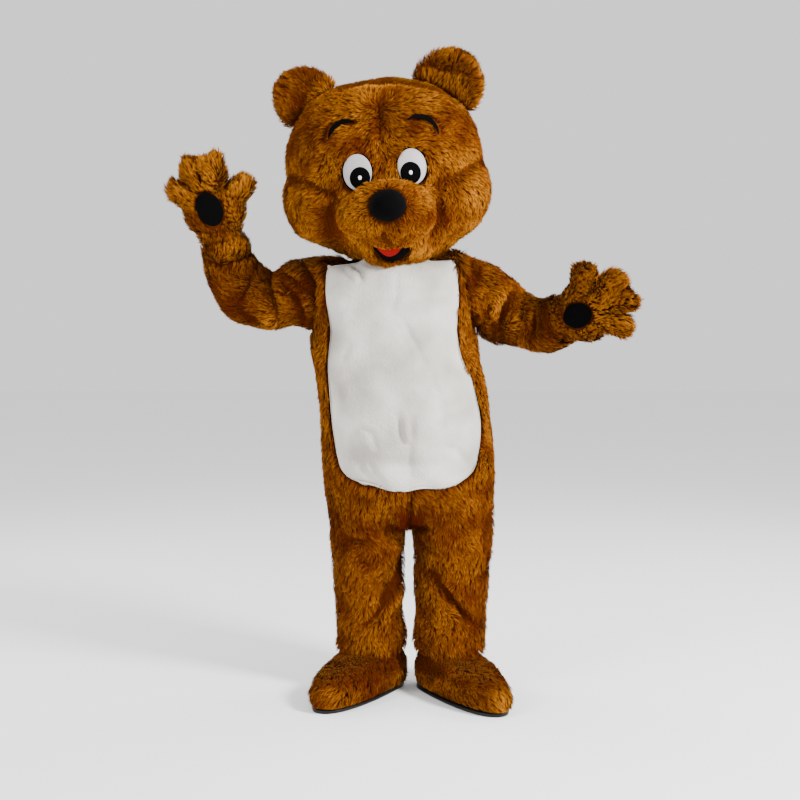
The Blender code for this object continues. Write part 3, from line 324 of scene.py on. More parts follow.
# Creases of the pieces with these first letters, seen from the front (-1) or the back (1): how wide,
# how deep, and a line of places across and up. Troughs are positive, ridges negative.
FACE = ("head_front", "cheek")
CREASES = {
    ("body", -1): (
        (0.014, 0.019, (0.020, -0.890), (-0.014, -0.975), (-0.053, -1.041), (-0.079, -1.072)),
        (0.016, -0.009, (0.020, -0.985), (-0.018, -1.045), (-0.057, -1.085)),
        (0.016, -0.007, (-0.010, -0.930), (-0.060, -1.000), (-0.095, -1.050)),
        (0.008, 0.010, (-0.127, -0.832), (-0.101, -0.837), (-0.079, -0.839)),
        (0.008, 0.009, (-0.101, -0.899), (-0.070, -0.897)),
        (0.014, 0.007, (-0.165, -0.760), (-0.140, -0.850), (-0.150, -0.900)),
        (0.014, 0.019, (0.105, -0.925), (0.150, -0.995), (0.191, -1.058), (0.226, -1.086)),
        (0.016, -0.009, (0.100, -0.985), (0.140, -1.045), (0.175, -1.090)),
        (0.015, -0.006, (0.150, -0.960), (0.185, -1.010), (0.220, -1.050)),
        (0.009, 0.014, (0.050, -0.783), (0.082, -0.810)),
        (0.009, 0.011, (0.067, -0.837), (0.089, -0.865)),
        (0.010, 0.013, (0.274, -0.924), (0.232, -0.942)),
        (0.014, 0.007, (0.258, -0.760), (0.240, -0.840), (0.252, -0.890)),
        (0.007, 0.013, (0.039, -0.690), (0.038, -0.734), (0.034, -0.784)),
    ),
    ("body", 1): (
        (0.014, 0.015, (-0.160, -0.900), (-0.110, -0.965), (-0.050, -1.010)),
        (0.014, 0.016, (0.235, -0.915), (0.185, -0.985), (0.120, -1.030)),
        (0.016, 0.018, (-0.120, -0.640), (-0.010, -0.672), (0.110, -0.668), (0.200, -0.640)),
        (0.018, 0.013, (-0.150, -0.450), (-0.060, -0.470), (0.040, -0.462)),
        (0.018, 0.011, (0.180, -0.360), (0.100, -0.400), (0.030, -0.395)),
    ),
    ("sleeve_left", -1): (
        (0.009, 0.014, (-0.268, -0.056), (-0.240, -0.088), (-0.218, -0.130), (-0.215, -0.172)),
        (0.008, 0.014, (-0.310, -0.096), (-0.278, -0.112), (-0.250, -0.140), (-0.222, -0.168)),
        (0.012, 0.019, (-0.299, -0.140), (-0.271, -0.172), (-0.254, -0.203), (-0.247, -0.224)),
        (0.009, 0.015, (-0.345, -0.105), (-0.342, -0.144), (-0.328, -0.189), (-0.321, -0.235)),
        (0.009, 0.013, (-0.391, -0.123), (-0.412, -0.165), (-0.433, -0.186)),
        (0.011, 0.013, (-0.440, -0.200), (-0.412, -0.217), (-0.370, -0.238)),
        (0.007, 0.013, (-0.515, -0.032), (-0.466, -0.026), (-0.421, -0.003)),
        (0.009, 0.015, (-0.536, -0.067), (-0.487, -0.088), (-0.438, -0.078), (-0.392, -0.050)),
        (0.010, -0.007, (-0.520, -0.050), (-0.470, -0.055), (-0.420, -0.035)),
    ),
    ("sleeve_left", 1): (
        (0.009, 0.013, (-0.515, -0.045), (-0.465, -0.050), (-0.415, -0.030)),
        (0.012, 0.014, (-0.300, -0.090), (-0.320, -0.150), (-0.350, -0.220)),
    ),
    ("glove_left", -1): (
        (0.008, 0.018, (-0.544, 0.191), (-0.538, 0.167), (-0.517, 0.129)),
        (0.008, 0.017, (-0.461, 0.140), (-0.482, 0.116), (-0.493, 0.098)),
        (0.008, 0.017, (-0.587, 0.140), (-0.563, 0.126), (-0.544, 0.109)),
        (0.008, 0.007, (-0.563, 0.006), (-0.493, 0.002), (-0.426, 0.010)),
    ),
    ("glove_left", 1): (
        (0.008, 0.018, (-0.544, 0.191), (-0.538, 0.167), (-0.525, 0.110)),
        (0.008, 0.017, (-0.461, 0.140), (-0.482, 0.116), (-0.493, 0.098)),
        (0.008, 0.017, (-0.587, 0.140), (-0.563, 0.126), (-0.540, 0.095)),
    ),
    ("sleeve_right", -1): (
        (0.008, 0.011, (0.199, -0.063), (0.205, -0.099), (0.212, -0.139)),
        (0.007, 0.010, (0.218, -0.080), (0.225, -0.122)),
        (0.012, 0.022, (0.311, -0.159), (0.295, -0.198), (0.285, -0.245), (0.295, -0.298)),
        (0.012, -0.009, (0.290, -0.150), (0.270, -0.190), (0.262, -0.240)),
        (0.009, 0.016, (0.347, -0.190), (0.341, -0.245), (0.334, -0.285)),
        (0.009, 0.014, (0.378, -0.200), (0.379, -0.251), (0.363, -0.294)),
        (0.012, 0.016, (0.189, -0.218), (0.212, -0.251), (0.222, -0.275)),
        (0.010, 0.015, (0.252, -0.205), (0.262, -0.245), (0.272, -0.292)),
        (0.008, 0.011, (0.412, -0.169), (0.406, -0.212), (0.419, -0.271)),
    ),
    ("sleeve_right", 1): (
        (0.012, 0.016, (0.311, -0.159), (0.300, -0.220), (0.305, -0.290)),
        (0.010, 0.013, (0.372, -0.165), (0.362, -0.225), (0.372, -0.285)),
    ),
    ("glove_right", -1): (
        (0.008, 0.017, (0.563, -0.155), (0.534, -0.160), (0.501, -0.168)),
        (0.008, 0.018, (0.645, -0.207), (0.599, -0.207), (0.553, -0.214)),
        (0.008, 0.017, (0.609, -0.276), (0.566, -0.268), (0.537, -0.256)),
        (0.008, 0.007, (0.453, -0.181), (0.448, -0.230), (0.460, -0.283)),
    ),
    ("glove_right", 1): (
        (0.008, 0.017, (0.563, -0.155), (0.534, -0.160), (0.501, -0.168)),
        (0.008, 0.018, (0.645, -0.207), (0.599, -0.207), (0.544, -0.214)),
        (0.008, 0.017, (0.609, -0.276), (0.566, -0.268), (0.529, -0.254)),
    ),
    (FACE, -1): (
        (0.007, 0.006, (-0.039, 0.420), (-0.043, 0.279), (-0.033, 0.183), (-0.033, 0.147)),
        (0.016, 0.013, (-0.310, 0.176), (-0.215, 0.132), (-0.157, 0.108)),
        (0.016, 0.012, (0.252, 0.225), (0.176, 0.172), (0.110, 0.136)),
        (0.017, 0.013, (-0.159, 0.101), (-0.166, 0.065), (-0.172, 0.012), (-0.139, -0.028)),
        (0.016, 0.012, (0.109, 0.121), (0.115, 0.052), (0.093, -0.012)),
        (0.012, -0.006, (-0.150, 0.368), (-0.099, 0.379), (-0.044, 0.381), (0.020, 0.380),
         (0.102, 0.373), (0.166, 0.357)),
        (0.010, 0.014, *ABOVE_CROWN),
        (0.040, -0.006, (-0.260, 0.040), (-0.225, 0.090), (-0.235, 0.120)),
        (0.040, -0.006, (0.215, 0.050), (0.190, 0.110), (0.200, 0.140)),
    ),
    ("muzzle", -1): (
        (0.010, 0.010, (-0.030, 0.005), (-0.015, -0.030), (-0.010, -0.050)),
    ),
    ("ear_left_front", -1): (
        (0.034, 0.010, (-0.262, 0.388), (-0.245, 0.362)),
    ),
    ("ear_right_front", -1): (
        (0.018, 0.012, (0.062, 0.470), (0.125, 0.460), (0.190, 0.445)),
    ),
    ("belly", -1): (
        (0.006, 0.0102, (0.006, -0.484), (0.012, -0.529), (0.021, -0.560), (0.037, -0.565)),
        (0.006, 0.0093, (0.046, -0.488), (0.047, -0.529), (0.045, -0.560)),
        (0.008, -0.0076, (0.028, -0.490), (0.030, -0.555)),
        (0.006, 0.0068, (0.037, -0.565), (0.038, -0.609), (0.039, -0.650)),
        (0.008, 0.0136, (-0.120, -0.074), (-0.098, -0.096), (-0.093, -0.125)),
        (0.008, 0.0085, (-0.140, -0.095), (-0.122, -0.120)),
        (0.006, 0.0043, (0.001, -0.105), (0.003, -0.163), (-0.008, -0.203)),
        (0.007, 0.0054, (0.019, -0.230), (0.046, -0.283), (0.077, -0.346)),
        (0.010, 0.0051, (0.095, -0.380), (0.120, -0.450), (0.125, -0.520)),
        (0.007, 0.0054, (-0.124, -0.301), (-0.142, -0.337)),
        (0.007, 0.0071, (-0.119, -0.542), (-0.097, -0.520), (-0.066, -0.533), (-0.052, -0.578)),
        (0.009, 0.0060, (-0.106, -0.578), (-0.097, -0.630), (-0.060, -0.668)),
        (0.008, 0.0060, (-0.075, -0.610), (-0.057, -0.645), (-0.030, -0.672)),
        (0.010, 0.0085, (0.206, -0.636), (0.170, -0.587), (0.139, -0.574)),
        (0.030, -0.0085, (-0.140, -0.500), (-0.020, -0.470), (0.120, -0.500)),
        (0.022, 0.0102, (-0.120, -0.600), (0.000, -0.625), (0.160, -0.620)),
    ),
}


# A crease's share of full depth at its ends, how steeply it deepens from them, and how far the cloth
# has to face its side before the crease shows.
CREASE_END, CREASE_POWER, CREASE_FACING = 0.12, 0.8, (-0.05, 0.35)


def beside(line, points):
    """How far each point is from a line, and how far along it, from 0 to 1."""
    runs = np.linalg.norm(np.diff(line, axis=0), axis=1)
    total, start = runs.sum(), 0.0
    away = np.full(len(points), np.inf)
    along = np.zeros(len(points))
    for a, b, run in zip(line[:-1], line[1:], runs):
        t = np.clip((points - a) @ (b - a) / run**2, 0, 1)
        here = np.linalg.norm(points - a - t[:, None] * (b - a), axis=1)
        along = np.where(here < away, (start + t * run) / total, along)
        away = np.minimum(away, here)
        start += run
    return away, np.clip(along, 0, 1)


def crease_depth(name, points, normals):
    """How far the creases sink a piece's points."""
    depth = np.zeros(len(points))
    flat = points[:, [0, 2]]
    for (first, facing), creases in CREASES.items():
        if not name.startswith(first):
            continue
        seen = smooth_step(*CREASE_FACING, facing * normals[:, 1])
        for width, deep, *line in creases:
            away, along = beside(np.array(line), flat)
            inwards = CREASE_END + (1 - 2 * CREASE_END) * along
            taper = np.sin(np.pi * inwards) ** CREASE_POWER
            depth += deep * taper * seen * np.exp(-((away / width) ** 2))
    return depth


# Slow random changes over cloth and pile: a wave's length, and the draw's own seed.
CELL_WOBBLE, SLACK = (0.05, 3), (0.11, 31)
BROAD_SWIRL, SMALL_SWIRL = (0.16, 11), (0.07, 12)
BROAD_PATCH, SMALL_PATCH = (0.20, 21), (0.075, 22)
# How many waves are added, how their lengths vary, and the sum that counts as 1.
WAVES, WAVE_RANGE, WAVE_SUM = 5, (0.7, 1.5), 2.4


def waves(points, length, seed):
    """Three smooth random values at each point, each about -1 to 1."""
    rng = np.random.default_rng(seed)
    total = np.zeros((len(points), 3))
    for _ in range(WAVES):
        turn = rng.normal(size=(3, 3))
        turn /= np.linalg.norm(turn, axis=0)
        steps = 2 * np.pi / length * rng.uniform(*WAVE_RANGE)
        total += np.sin(points @ turn * steps + rng.uniform(0, 7, 3))
    return total / WAVE_SUM


# Where the pile lies --------
# The pieces' first letters, lock length, locks per square metre, how far it stands, its tone.
PILES = (
    ("head_front", 0.0215, 100000, 0.34, 0.00),
    # The back of the head's pile is toned darker as painted shade.
    ("head_back", 0.0240, 46000, 0.30, -0.14),
    ("cheek", 0.0235, 100000, 0.36, 0.02),
    ("muzzle", 0.0180, 112000, 0.34, 0.06),
    ("ear", 0.0240, 105000, 0.52, 0.08),
    ("body_front", 0.0215, 96000, 0.30, 0.00),
    ("body_back", 0.0245, 46000, 0.28, 0.00),
    ("sleeve", 0.0205, 92000, 0.32, -0.06),
    ("glove", 0.0175, 120000, 0.40, 0.06),
    ("foot", 0.0250, 96000, 0.26, 0.02),
)
# Lines that the pile follows down the arms: shoulder to finger tips.
ARM_LINES = {
    "left": ((-0.200, 0.0, -0.170), (-0.400, 0.0, -0.165), (-0.455, -0.02, -0.100), (-0.520, -0.10, 0.200)),
    "right": ((0.180, 0.0, -0.170), (0.300, 0.0, -0.215), (0.430, -0.05, -0.238), (0.634, -0.24, -0.219)),
}
WRISTS = {"left": (-0.478, -0.040, -0.020), "right": (0.454, -0.072, -0.235)}
ANKLES = {"left": (-0.067, 0.010, -1.160), "right": (0.148, -0.020, -1.160)}
# The pile of the head runs out from a little above its middle, falls more steeply down the cheeks and
# lies back over the crown: heights in the head's axes.
PARTING = (0.03, 0, -0.10)
CHEEKS_FALL, CROWN_LIES = (0.16, -0.20), (0.14, 0.26)
# The muzzle's pile runs out from a place behind the nose.
BEHIND_NOSE = (NOSE_PLACE[0], -0.36, NOSE_PLACE[1])
SUIT_MIDDLE = (0.02, 0, 0)


def side_of(name):
    """The side that a piece's name gives."""
    return "left" if "left" in name else "right"


def from_wrist(name, points):
    """How far out from its wrist each place of a glove lies."""
    return np.linalg.norm(points - WRISTS[side_of(name)], axis=1)


def along_arm(points, line):
    """The arm's own direction beside each point."""
    best = np.full(len(points), np.inf)
    way = np.zeros((len(points), 3))
    line = np.array(line)
    for a, b in zip(line[:-1], line[1:]):
        t = np.clip((points - a) @ (b - a) / ((b - a) @ (b - a)), 0, 1)
        away = np.linalg.norm(points - a - t[:, None] * (b - a), axis=1)
        way = np.where((away < best)[:, None], (b - a) / np.linalg.norm(b - a), way)
        best = np.minimum(best, away)
    return way


def laid(ways, normals):
    """Directions turned to lie on the cloth."""
    ways = ways - normals * np.sum(ways * normals, axis=1, keepdims=True)
    return ways / np.maximum(np.linalg.norm(ways, axis=1, keepdims=True), 1e-6)


def head_nap(points):
    """The head's pile: out from the parting, down the cheeks and back over the crown."""
    local = in_head(points)
    away = local * (4.5, 1.5, 2.0) + PARTING
    lower = smooth_step(*CHEEKS_FALL, local[:, 2])[:, None]
    upper = smooth_step(*CROWN_LIES, local[:, 2])[:, None]
    return away @ HEAD_TURN.T + (0.15 + 0.8 * lower) * DOWN + upper * (0, 0.9, 0)


def nap_direction(name, points):
    """Which way the pile lies at each point, not yet laid on the cloth."""
    if name.startswith("sleeve"):
        return along_arm(points, ARM_LINES[side_of(name)]) + 0.25 * DOWN
    if name.startswith("glove"):
        away = unit(points - WRISTS[side_of(name)])
        return away + 0.6 * along_arm(points, ARM_LINES[side_of(name)])
    if name.startswith("foot"):
        return (points - ANKLES[side_of(name)]) * 5 + 0.9 * DOWN
    if name.startswith("muzzle"):
        return (in_head(points) - BEHIND_NOSE) * (9, 3, 9) @ HEAD_TURN.T + 0.35 * DOWN
    if name.startswith("ear"):
        return in_head(points) * (6, 0, 6) @ HEAD_TURN.T
    if name.startswith(("head", "cheek")):
        return head_nap(points)
    return DOWN + (points - SUIT_MIDDLE) * (1.0, 0.3, 0)


# Places of the face that the pile leaves bare, in the head's axes: middle, half width, half height.
BARE = (
    (-0.0800, 0.010, 0.0345, 0.0480),
    (0.0800, 0.010, 0.0345, 0.0480),
    (*NOSE_PLACE, 0.0440, 0.0390),
)
MOUTH_BARE = (-0.003, -0.200, 0.052, 0.0270)
# No lock may reach in front of the mouth, from this far above its middle down.
MOUTH_CLEAR, LIP_OVER = (-0.003, -0.2035, 0.050, 0.0215), 0.002
# The eyebrows' arcs: middle, half width, height, and the angles where they start and stop.
BROW_ARCS = {
    "left": (-0.092, 0.098, 0.048, 0.049, 170.0, 58.0),
    "right": (0.100, 0.085, 0.052, 0.056, 121.0, 4.0),
}
BROW_BARE, BROW_CLEAR = 0.0080, 0.0055
PAD_BARE, PAD_CLEAR = 0.0020, 0.0035
# The narrow chin under the mouth: its top, its half width, how many times its locks are repeated, and
# how far those are scattered.
CHIN_TOP, CHIN_HALF, CHIN_TIMES, CHIN_SCATTER = -0.223, 0.08, 8, 0.0032


def inside(oval, local):
    """True within an upright oval of the face."""
    x, z, half, tall = oval
    return np.hypot((local[:, 0] - x) / half, (local[:, 2] - z) / tall) < 1


def near_brows(points, reach):
    """True within reach of an eyebrow."""
    local = in_head(points)[:, None, [0, 2]]
    near = np.zeros(len(points), bool)
    for x, z, half, tall, start, stop in BROW_ARCS.values():
        arc = np.radians(np.linspace(start, stop, 12))
        brow = np.column_stack((x + half * np.cos(arc), z + tall * np.sin(arc)))
        near |= np.linalg.norm(local - brow[None], axis=2).min(axis=1) < reach
    return near


def over_mouth(points):
    """True in front of the open mouth."""
    local = in_head(points)
    return inside(MOUTH_CLEAR, local) & (local[:, 2] < MOUTH_CLEAR[1] + LIP_OVER)


def near_pad(name, points, reach):
    """True within reach of the palm's pad."""
    pad = pads[side_of(name)]
    return np.array([pad.find_nearest(Vector(point))[3] < reach for point in points])


def bare(name, points):
    """True where no lock may root."""
    hidden = np.zeros(len(points), bool)
    if name.startswith(("head_front", "cheek", "muzzle")):
        local = in_head(points)
        for oval in BARE:
            hidden |= inside(oval, local)
        if name.startswith("head_front"):
            hidden |= near_brows(points, BROW_BARE)
        if name.startswith("cheek"):
            hidden |= inside(MOUTH_BARE, local) & (local[:, 1] < 0)
    if name.endswith("palm"):
        hidden |= near_pad(name, points, PAD_BARE)
    return hidden


def in_the_way(name, points):
    """True where a lock would hide an eyebrow, the open mouth or a palm's pad."""
    if name.startswith("head_front"):
        return near_brows(points, BROW_CLEAR)
    if name.startswith(("cheek", "muzzle")):
        return over_mouth(points)
    if name.endswith("palm"):
        return near_pad(name, points, PAD_CLEAR)
    return np.zeros(len(points), bool)


# How the pile changes from place to place --------
# How far above its line and how far forward the crown's pile starts to lean back.
CROWN_TURN, CROWN_BACK = (0.000, 0.008), (0.000, -0.040)
# The inner sides of the legs' tops: the middle between the legs, how wide they are there, and the
# heights between which they start and stop.
LEGS_MIDDLE, CROTCH_HALF = 0.036, (0.050, 0.020)
CROTCH_TOP, CROTCH_BASE = (-0.720, -0.745), (-0.816, -0.796)
# The gap lower down between the legs, whose pile is short.
GAP_MIDDLE, GAP_HALF, GAP_TOP = 0.038, (0.080, 0.050), (-0.98, -1.06)
# Heights of the legs' darker pile, their hems and the shoulders, and how far out the shoulders start.
LEGS, HEM, SHOULDERS, BESIDE_NECK = (-0.56, -0.72), (-1.115, -1.145), (-0.120, -0.080), (0.120, 0.150)
# Heights of the ankle and of the hem's shadow on a foot, and the crease that it counts as.
ANKLE, HEM_SHADOW, SHADOW_DEPTH = (-1.205, -1.178), (-1.222, -1.196), 0.014
# How far from the wrist a glove's pile lightens and where its fingers are.
HAND, FINGERS = (0.090, 0.160), (0.120, 0.190)
# In the head's axes: the heights of the brow's painted shade and how far forward it lies, then the
# heights of the short pile over the lip and of the painted highlight that lightens the chin on muzzle and
# cheeks.
BROW, BROW_FRONT = (0.020, 0.110), (0.05, -0.10)
LIP, MUZZLE_CHIN, CHEEK_CHIN = (-0.150, -0.185), (-0.135, -0.200), (-0.100, -0.200)
# How far the cloth turns away on the right foot's inner side and on both insteps.
INNER_SIDE, INSTEP = (-0.2, -0.8), (0.3, 0.8)


def on_dome(name, points):
    """1 where the front panels lean back over the crown, 0 on the face."""
    if not name.startswith("head_front"):
        return np.zeros(len(points))
    line = np.interp(points[:, 0], *np.array(CROWN_LINE).T)
    return smooth_step(*CROWN_TURN, points[:, 2] - line) * smooth_step(*CROWN_BACK, points[:, 1])


def crotch_nearness(points):
    """1 on the inner sides of the legs' tops, 0 away from them."""
    near = smooth_step(*CROTCH_HALF, abs(points[:, 0] - LEGS_MIDDLE))
    return near * smooth_step(*CROTCH_TOP, points[:, 2]) * smooth_step(*CROTCH_BASE, points[:, 2])


def tone_of(name, points):
    """How much lighter or darker a piece's pile is by place."""
    if name.startswith("body"):
        # The legs' pile is darker; painted shade darkens the inner sides of the legs' tops at the crotch.
        return -0.16 * smooth_step(*LEGS, points[:, 2]) - 0.40 * crotch_nearness(points)
    if name.startswith("glove"):
        return 0.20 * smooth_step(*HAND, from_wrist(name, points)) - 0.06
    if name.startswith("foot"):
        # Painted light and shade: the right foot's pile is lighter, the left's darker.
        return np.full(len(points), 0.08 if "right" in name else -0.08)
    if name.startswith("sleeve"):
        return np.zeros(len(points))
    low = in_head(points)[:, 2]
    # Painted highlight: the chin of the muzzle and of the cheeks is lighter.
    if name.startswith("muzzle"):
        return 0.26 * smooth_step(*MUZZLE_CHIN, low) - 0.06
    if name.startswith("cheek"):
        return 0.16 * smooth_step(*CHEEK_CHIN, low) - 0.08
    # Painted shade: the brow and the dome over the crown are darker.
    brow = smooth_step(*BROW, low) * smooth_step(*BROW_FRONT, points[:, 1])
    return -0.24 * on_dome(name, points) - 0.16 * brow


def growth(name, points, normals):
    """How many times longer, and how much steeper, a piece's locks are by place."""
    if name.startswith("muzzle"):
        return 1 - 0.45 * smooth_step(*LIP, in_head(points)[:, 2]), 0.0
    if name.startswith("head_front"):
        return 1 - 0.25 * on_dome(name, points), 0.0
    if name.startswith("glove"):
        fingers = smooth_step(*FINGERS, from_wrist(name, points))
        return 1 + 0.55 * fingers, 0.20 * fingers
    if name.startswith("foot"):
        inner = smooth_step(*INNER_SIDE, normals[:, 0]) if "right" in name else 0.0
        ankle = smooth_step(*ANKLE, points[:, 2])
        return (1 - 0.5 * inner) * (1 - 0.45 * ankle), -0.12 * smooth_step(*INSTEP, normals[:, 2])
    if name.startswith("body"):
        hem = smooth_step(*HEM, points[:, 2])
        crotch = crotch_nearness(points)
        shoulder = smooth_step(*SHOULDERS, points[:, 2]) * smooth_step(*BESIDE_NECK, abs(points[:, 0]))
        gap = smooth_step(*GAP_HALF, abs(points[:, 0] - GAP_MIDDLE)) * smooth_step(*GAP_TOP, points[:, 2])
        longer = (1 + 0.65 * crotch + 0.45 * shoulder + 0.25 * hem) * (1 - 0.40 * gap)
        return longer, 0.60 * hem * (1 - gap) + 0.9 * crotch + 0.4 * shoulder
    return 1.0, 0.0


# Locks --------
# Size of a tuft, the numbers that spread its shared values, and how far, in tufts, its middle strays
# and its edges bend.
CLUMP = 0.012
CELL_KEYS, CELL_VALUES, CELL_PRIME = (73856093, 19349663, 83492791), (40503, 69621, 16807), 99991
CELL_STRAY, CELL_BEND = 0.5, 0.25
# How hard the locks of a tuft draw together, at the bend and, so many times harder, at the tip.
TUFTING = {"glove": 0.20, "foot": 0.05, "sleeve": 0.15, "ear": 0.16}
PLAIN_TUFTING, TIP_TUFTING = 0.12, 1.9
# A lock's two runs as shares of its length, the range of how far it stands, and the sink of its root.
FIRST_RUN, SECOND_RUN, RISE, ROOT_SINK = 0.46, 0.56, (0.08, 0.9), 0.001
# Half a lock's width: least, random share, share of its length, and what is left of it at the bend.
HALF, HALF_MORE, HALF_BY_LENGTH, BEND_WIDTH = 0.0007, 0.0006, 0.018, 0.9
# Locks in a crease are shorter, by this much at a crease this deep, and darker with painted shade, by so
# much to the metre within a range.
CREASE_SHORTENS, DEEP, CREASE_DARKENS, SHADE = 0.55, 0.010, 45, (-0.3, 0.5)
# Random shares in the locks' ways, lengths, rises and tones: by broad and small patches, by the tuft,
# and each lock's own.
WAY_BROAD, WAY_SMALL, WAY_TUFT, WAY_OWN = 0.40, 0.30, 0.55, 0.15
LENGTH_LEAST, LENGTH_TUFT, LENGTH_OWN = 0.78, 0.20, 0.32
RISE_BROAD, RISE_TUFT, RISE_OWN = 0.35, 0.32, 0.08
TONE, TONE_BROAD, TONE_SMALL, TONE_TUFT, TONE_OWN = 0.43, 0.24, 0.24, 0.24, 0.11
# How patchy the tone is on the suit's body, and elsewhere.
PATCHY_BODY, PATCHY_REST = 0.5, 0.8
# How much of the sole's edge the pile leaves bare.
SOLE_SHOWS = 0.014
# A lock's colours at root, middle and tip: the dark root is partly painted shade deep in the pile, the
# golden tip partly painted highlight.
DARK, MIDDLE, GOLD = np.array(((0.028, 0.0042, 0.0006), (0.126, 0.029, 0.0026), (0.515, 0.196, 0.014)))
# The crown's pile is a greener gold.
CROWN_GREEN = 0.35


def cell_noise(points, size):
    """The middle of each point's tuft and three random values that its locks share."""
    cell = np.floor(points / size + CELL_BEND * waves(points, *CELL_WOBBLE)).astype(np.int64)
    key = (cell[:, 0] * CELL_KEYS[0]) ^ (cell[:, 1] * CELL_KEYS[1]) ^ (cell[:, 2] * CELL_KEYS[2])
    values = np.stack([((key * m) % CELL_PRIME) / CELL_PRIME for m in CELL_VALUES], axis=1)
    middle = (cell + 0.5 + CELL_STRAY * (values - 0.5)) * size
    return middle, values


def scatter(skin, density):
    """Places spread evenly over a skin, so many to the square metre, and the normals there."""
    points, normals = places(skin)
    mesh = skin.data
    mesh.calc_loop_triangles()
    triangles = np.empty(len(mesh.loop_triangles) * 3, np.int64)
    mesh.loop_triangles.foreach_get("vertices", triangles)
    triangles = triangles.reshape(-1, 3)
    a, b, c = (points[triangles[:, k]] for k in range(3))
    area = np.linalg.norm(np.cross(b - a, c - a), axis=1) / 2
    reach = np.cumsum(area)
    count = int(reach[-1] * density)
    pick = np.searchsorted(reach, (np.arange(count) + dice.random(count)) / count * reach[-1])
    pick = np.clip(pick, 0, len(area) - 1)
    u, v = dice.random((2, count))
    fold = u + v > 1
    u, v = np.where(fold, 1 - u, u)[:, None], np.where(fold, 1 - v, v)[:, None]
    na, nb, nc = (normals[triangles[pick, k]] for k in range(3))
    return a[pick] * (1 - u - v) + b[pick] * u + c[pick] * v, na * (1 - u - v) + nb * u + nc * v


def thicken_chin(root, normal):
    """The same places, with those of the narrow chin repeated around themselves."""
    count = len(root)
    local = in_head(root)
    chin = (local[:, 2] < CHIN_TOP) & (abs(local[:, 0]) < CHIN_HALF) & (local[:, 1] < 0)
    pick = np.concatenate((np.arange(count), np.repeat(np.flatnonzero(chin), CHIN_TIMES)))
    root, normal = root[pick], normal[pick]
    root[count:] += dice.normal(scale=CHIN_SCATTER, size=(len(root) - count, 3))
    return root, normal


def rooted(name, skin, density):
    """Where a piece's locks root, and the cloth's normals there."""
    root, normal = scatter(skin, density)
    if name.startswith("cheek"):
        root, normal = thicken_chin(root, normal)
    keep = ~bare(name, root)
    return root[keep], unit(normal[keep])


def combed(name, root, normal, shared):
    """Which way each lock lies on the cloth: with the nap, in swirls and a little astray."""
    swirl = WAY_BROAD * waves(root, *BROAD_SWIRL) + WAY_SMALL * waves(root, *SMALL_SWIRL)
    way = laid(nap_direction(name, root), normal)
    astray = WAY_OWN * dice.normal(size=(len(root), 3))
    return laid(way + swirl + WAY_TUFT * (shared - 0.5) + astray, normal)


def bend_and_tip(name, root, normal, way, middle, size, rise):
    """Each lock's two upper places: up from its root, then over along the nap."""
    gather = middle - root
    gather -= normal * np.sum(gather * normal, axis=1, keepdims=True)
    pull = TUFTING.get(name.split("_")[0], PLAIN_TUFTING)
    first = unit(way * (0.85 - 0.3 * rise) + normal * (0.45 + rise))
    second = unit(way + normal * (rise - 0.12))
    bend = root + first * (size * FIRST_RUN)[:, None] + gather * pull
    tip = bend + second * (size * SECOND_RUN)[:, None] + gather * pull * TIP_TUFTING
    return bend, tip


def blades(way, normal, root, bend, tip, size):
    """Each lock's five corners: two at its root, two at its bend and the tip."""
    count = len(root)
    across = unit(np.cross(way, normal) + 0.35 * dice.normal(size=(count, 1)) * normal)
    half = (HALF + HALF_MORE * dice.random(count) + HALF_BY_LENGTH * size)[:, None]
    low, high = across * half, across * half * BEND_WIDTH
    corners = np.stack((root - low, root + low, bend + high, bend - high, tip), axis=1)
    corners[:, :, 2] = np.maximum(corners[:, :, 2], FLOOR + SOLE_SHOWS)
    return corners


def shades(name, root, tone_shift, patch, shared, sunk):
    """Each lock's five colours: dark at its root and golden at its tip, partly painted shade and highlight,
    and painted shade down in a crease.
    """
    patchy = PATCHY_BODY if name.startswith("body") else PATCHY_REST
    # The broad and small patches lighten and darken the pile at random, partly as painted sheen where the
    # nap turns.
    patches = TONE_BROAD * patch + TONE_SMALL * waves(root, *SMALL_PATCH)[:, 0]
    tone = TONE + tone_shift + patchy * patches - np.clip(sunk * CREASE_DARKENS, *SHADE)
    tone += TONE_TUFT * (shared[:, 2] - 0.5) + TONE_OWN * dice.normal(size=len(root)) + tone_of(name, root)
    tone = np.clip(tone, 0, 1)[:, None]
    low = DARK * (0.8 + 0.6 * tone)
    mid = DARK + (MIDDLE - DARK) * (0.50 + 0.6 * tone)
    top = MIDDLE + (GOLD - MIDDLE) * (1.25 * tone - 0.16)
    colours = np.ones((len(root), 5, 4))
    colours[:, :, :3] = np.stack((low, low, mid, mid, top), axis=1)
    colours[:, :, 1] *= 1 + CROWN_GREEN * on_dome(name, root)[:, None]
    return colours


def pile_mesh(name, corners, colours):
    """All locks of a piece as one mesh: a strip from root to bend and a point above it."""
    count = len(corners)
    fur = bpy.data.meshes.new(name)
    base = np.arange(count)[:, None] * 5
    fur.vertices.add(count * 5)
    fur.vertices.foreach_set("co", corners.ravel())
    fur.loops.add(count * 7)
    fur.loops.foreach_set("vertex_index", (base + np.array((0, 1, 2, 3, 3, 2, 4))).ravel())
    fur.polygons.add(count * 2)
    starts = (np.arange(count)[:, None] * 7 + np.array((0, 4))).ravel()
    fur.polygons.foreach_set("loop_start", starts)
    fur.update(calc_edges=True)
    shade = fur.color_attributes.new(PILE_ATTRIBUTE, "FLOAT_COLOR", "POINT")
    shade.data.foreach_set("color", colours.ravel())
    return link(name, fur, pile)


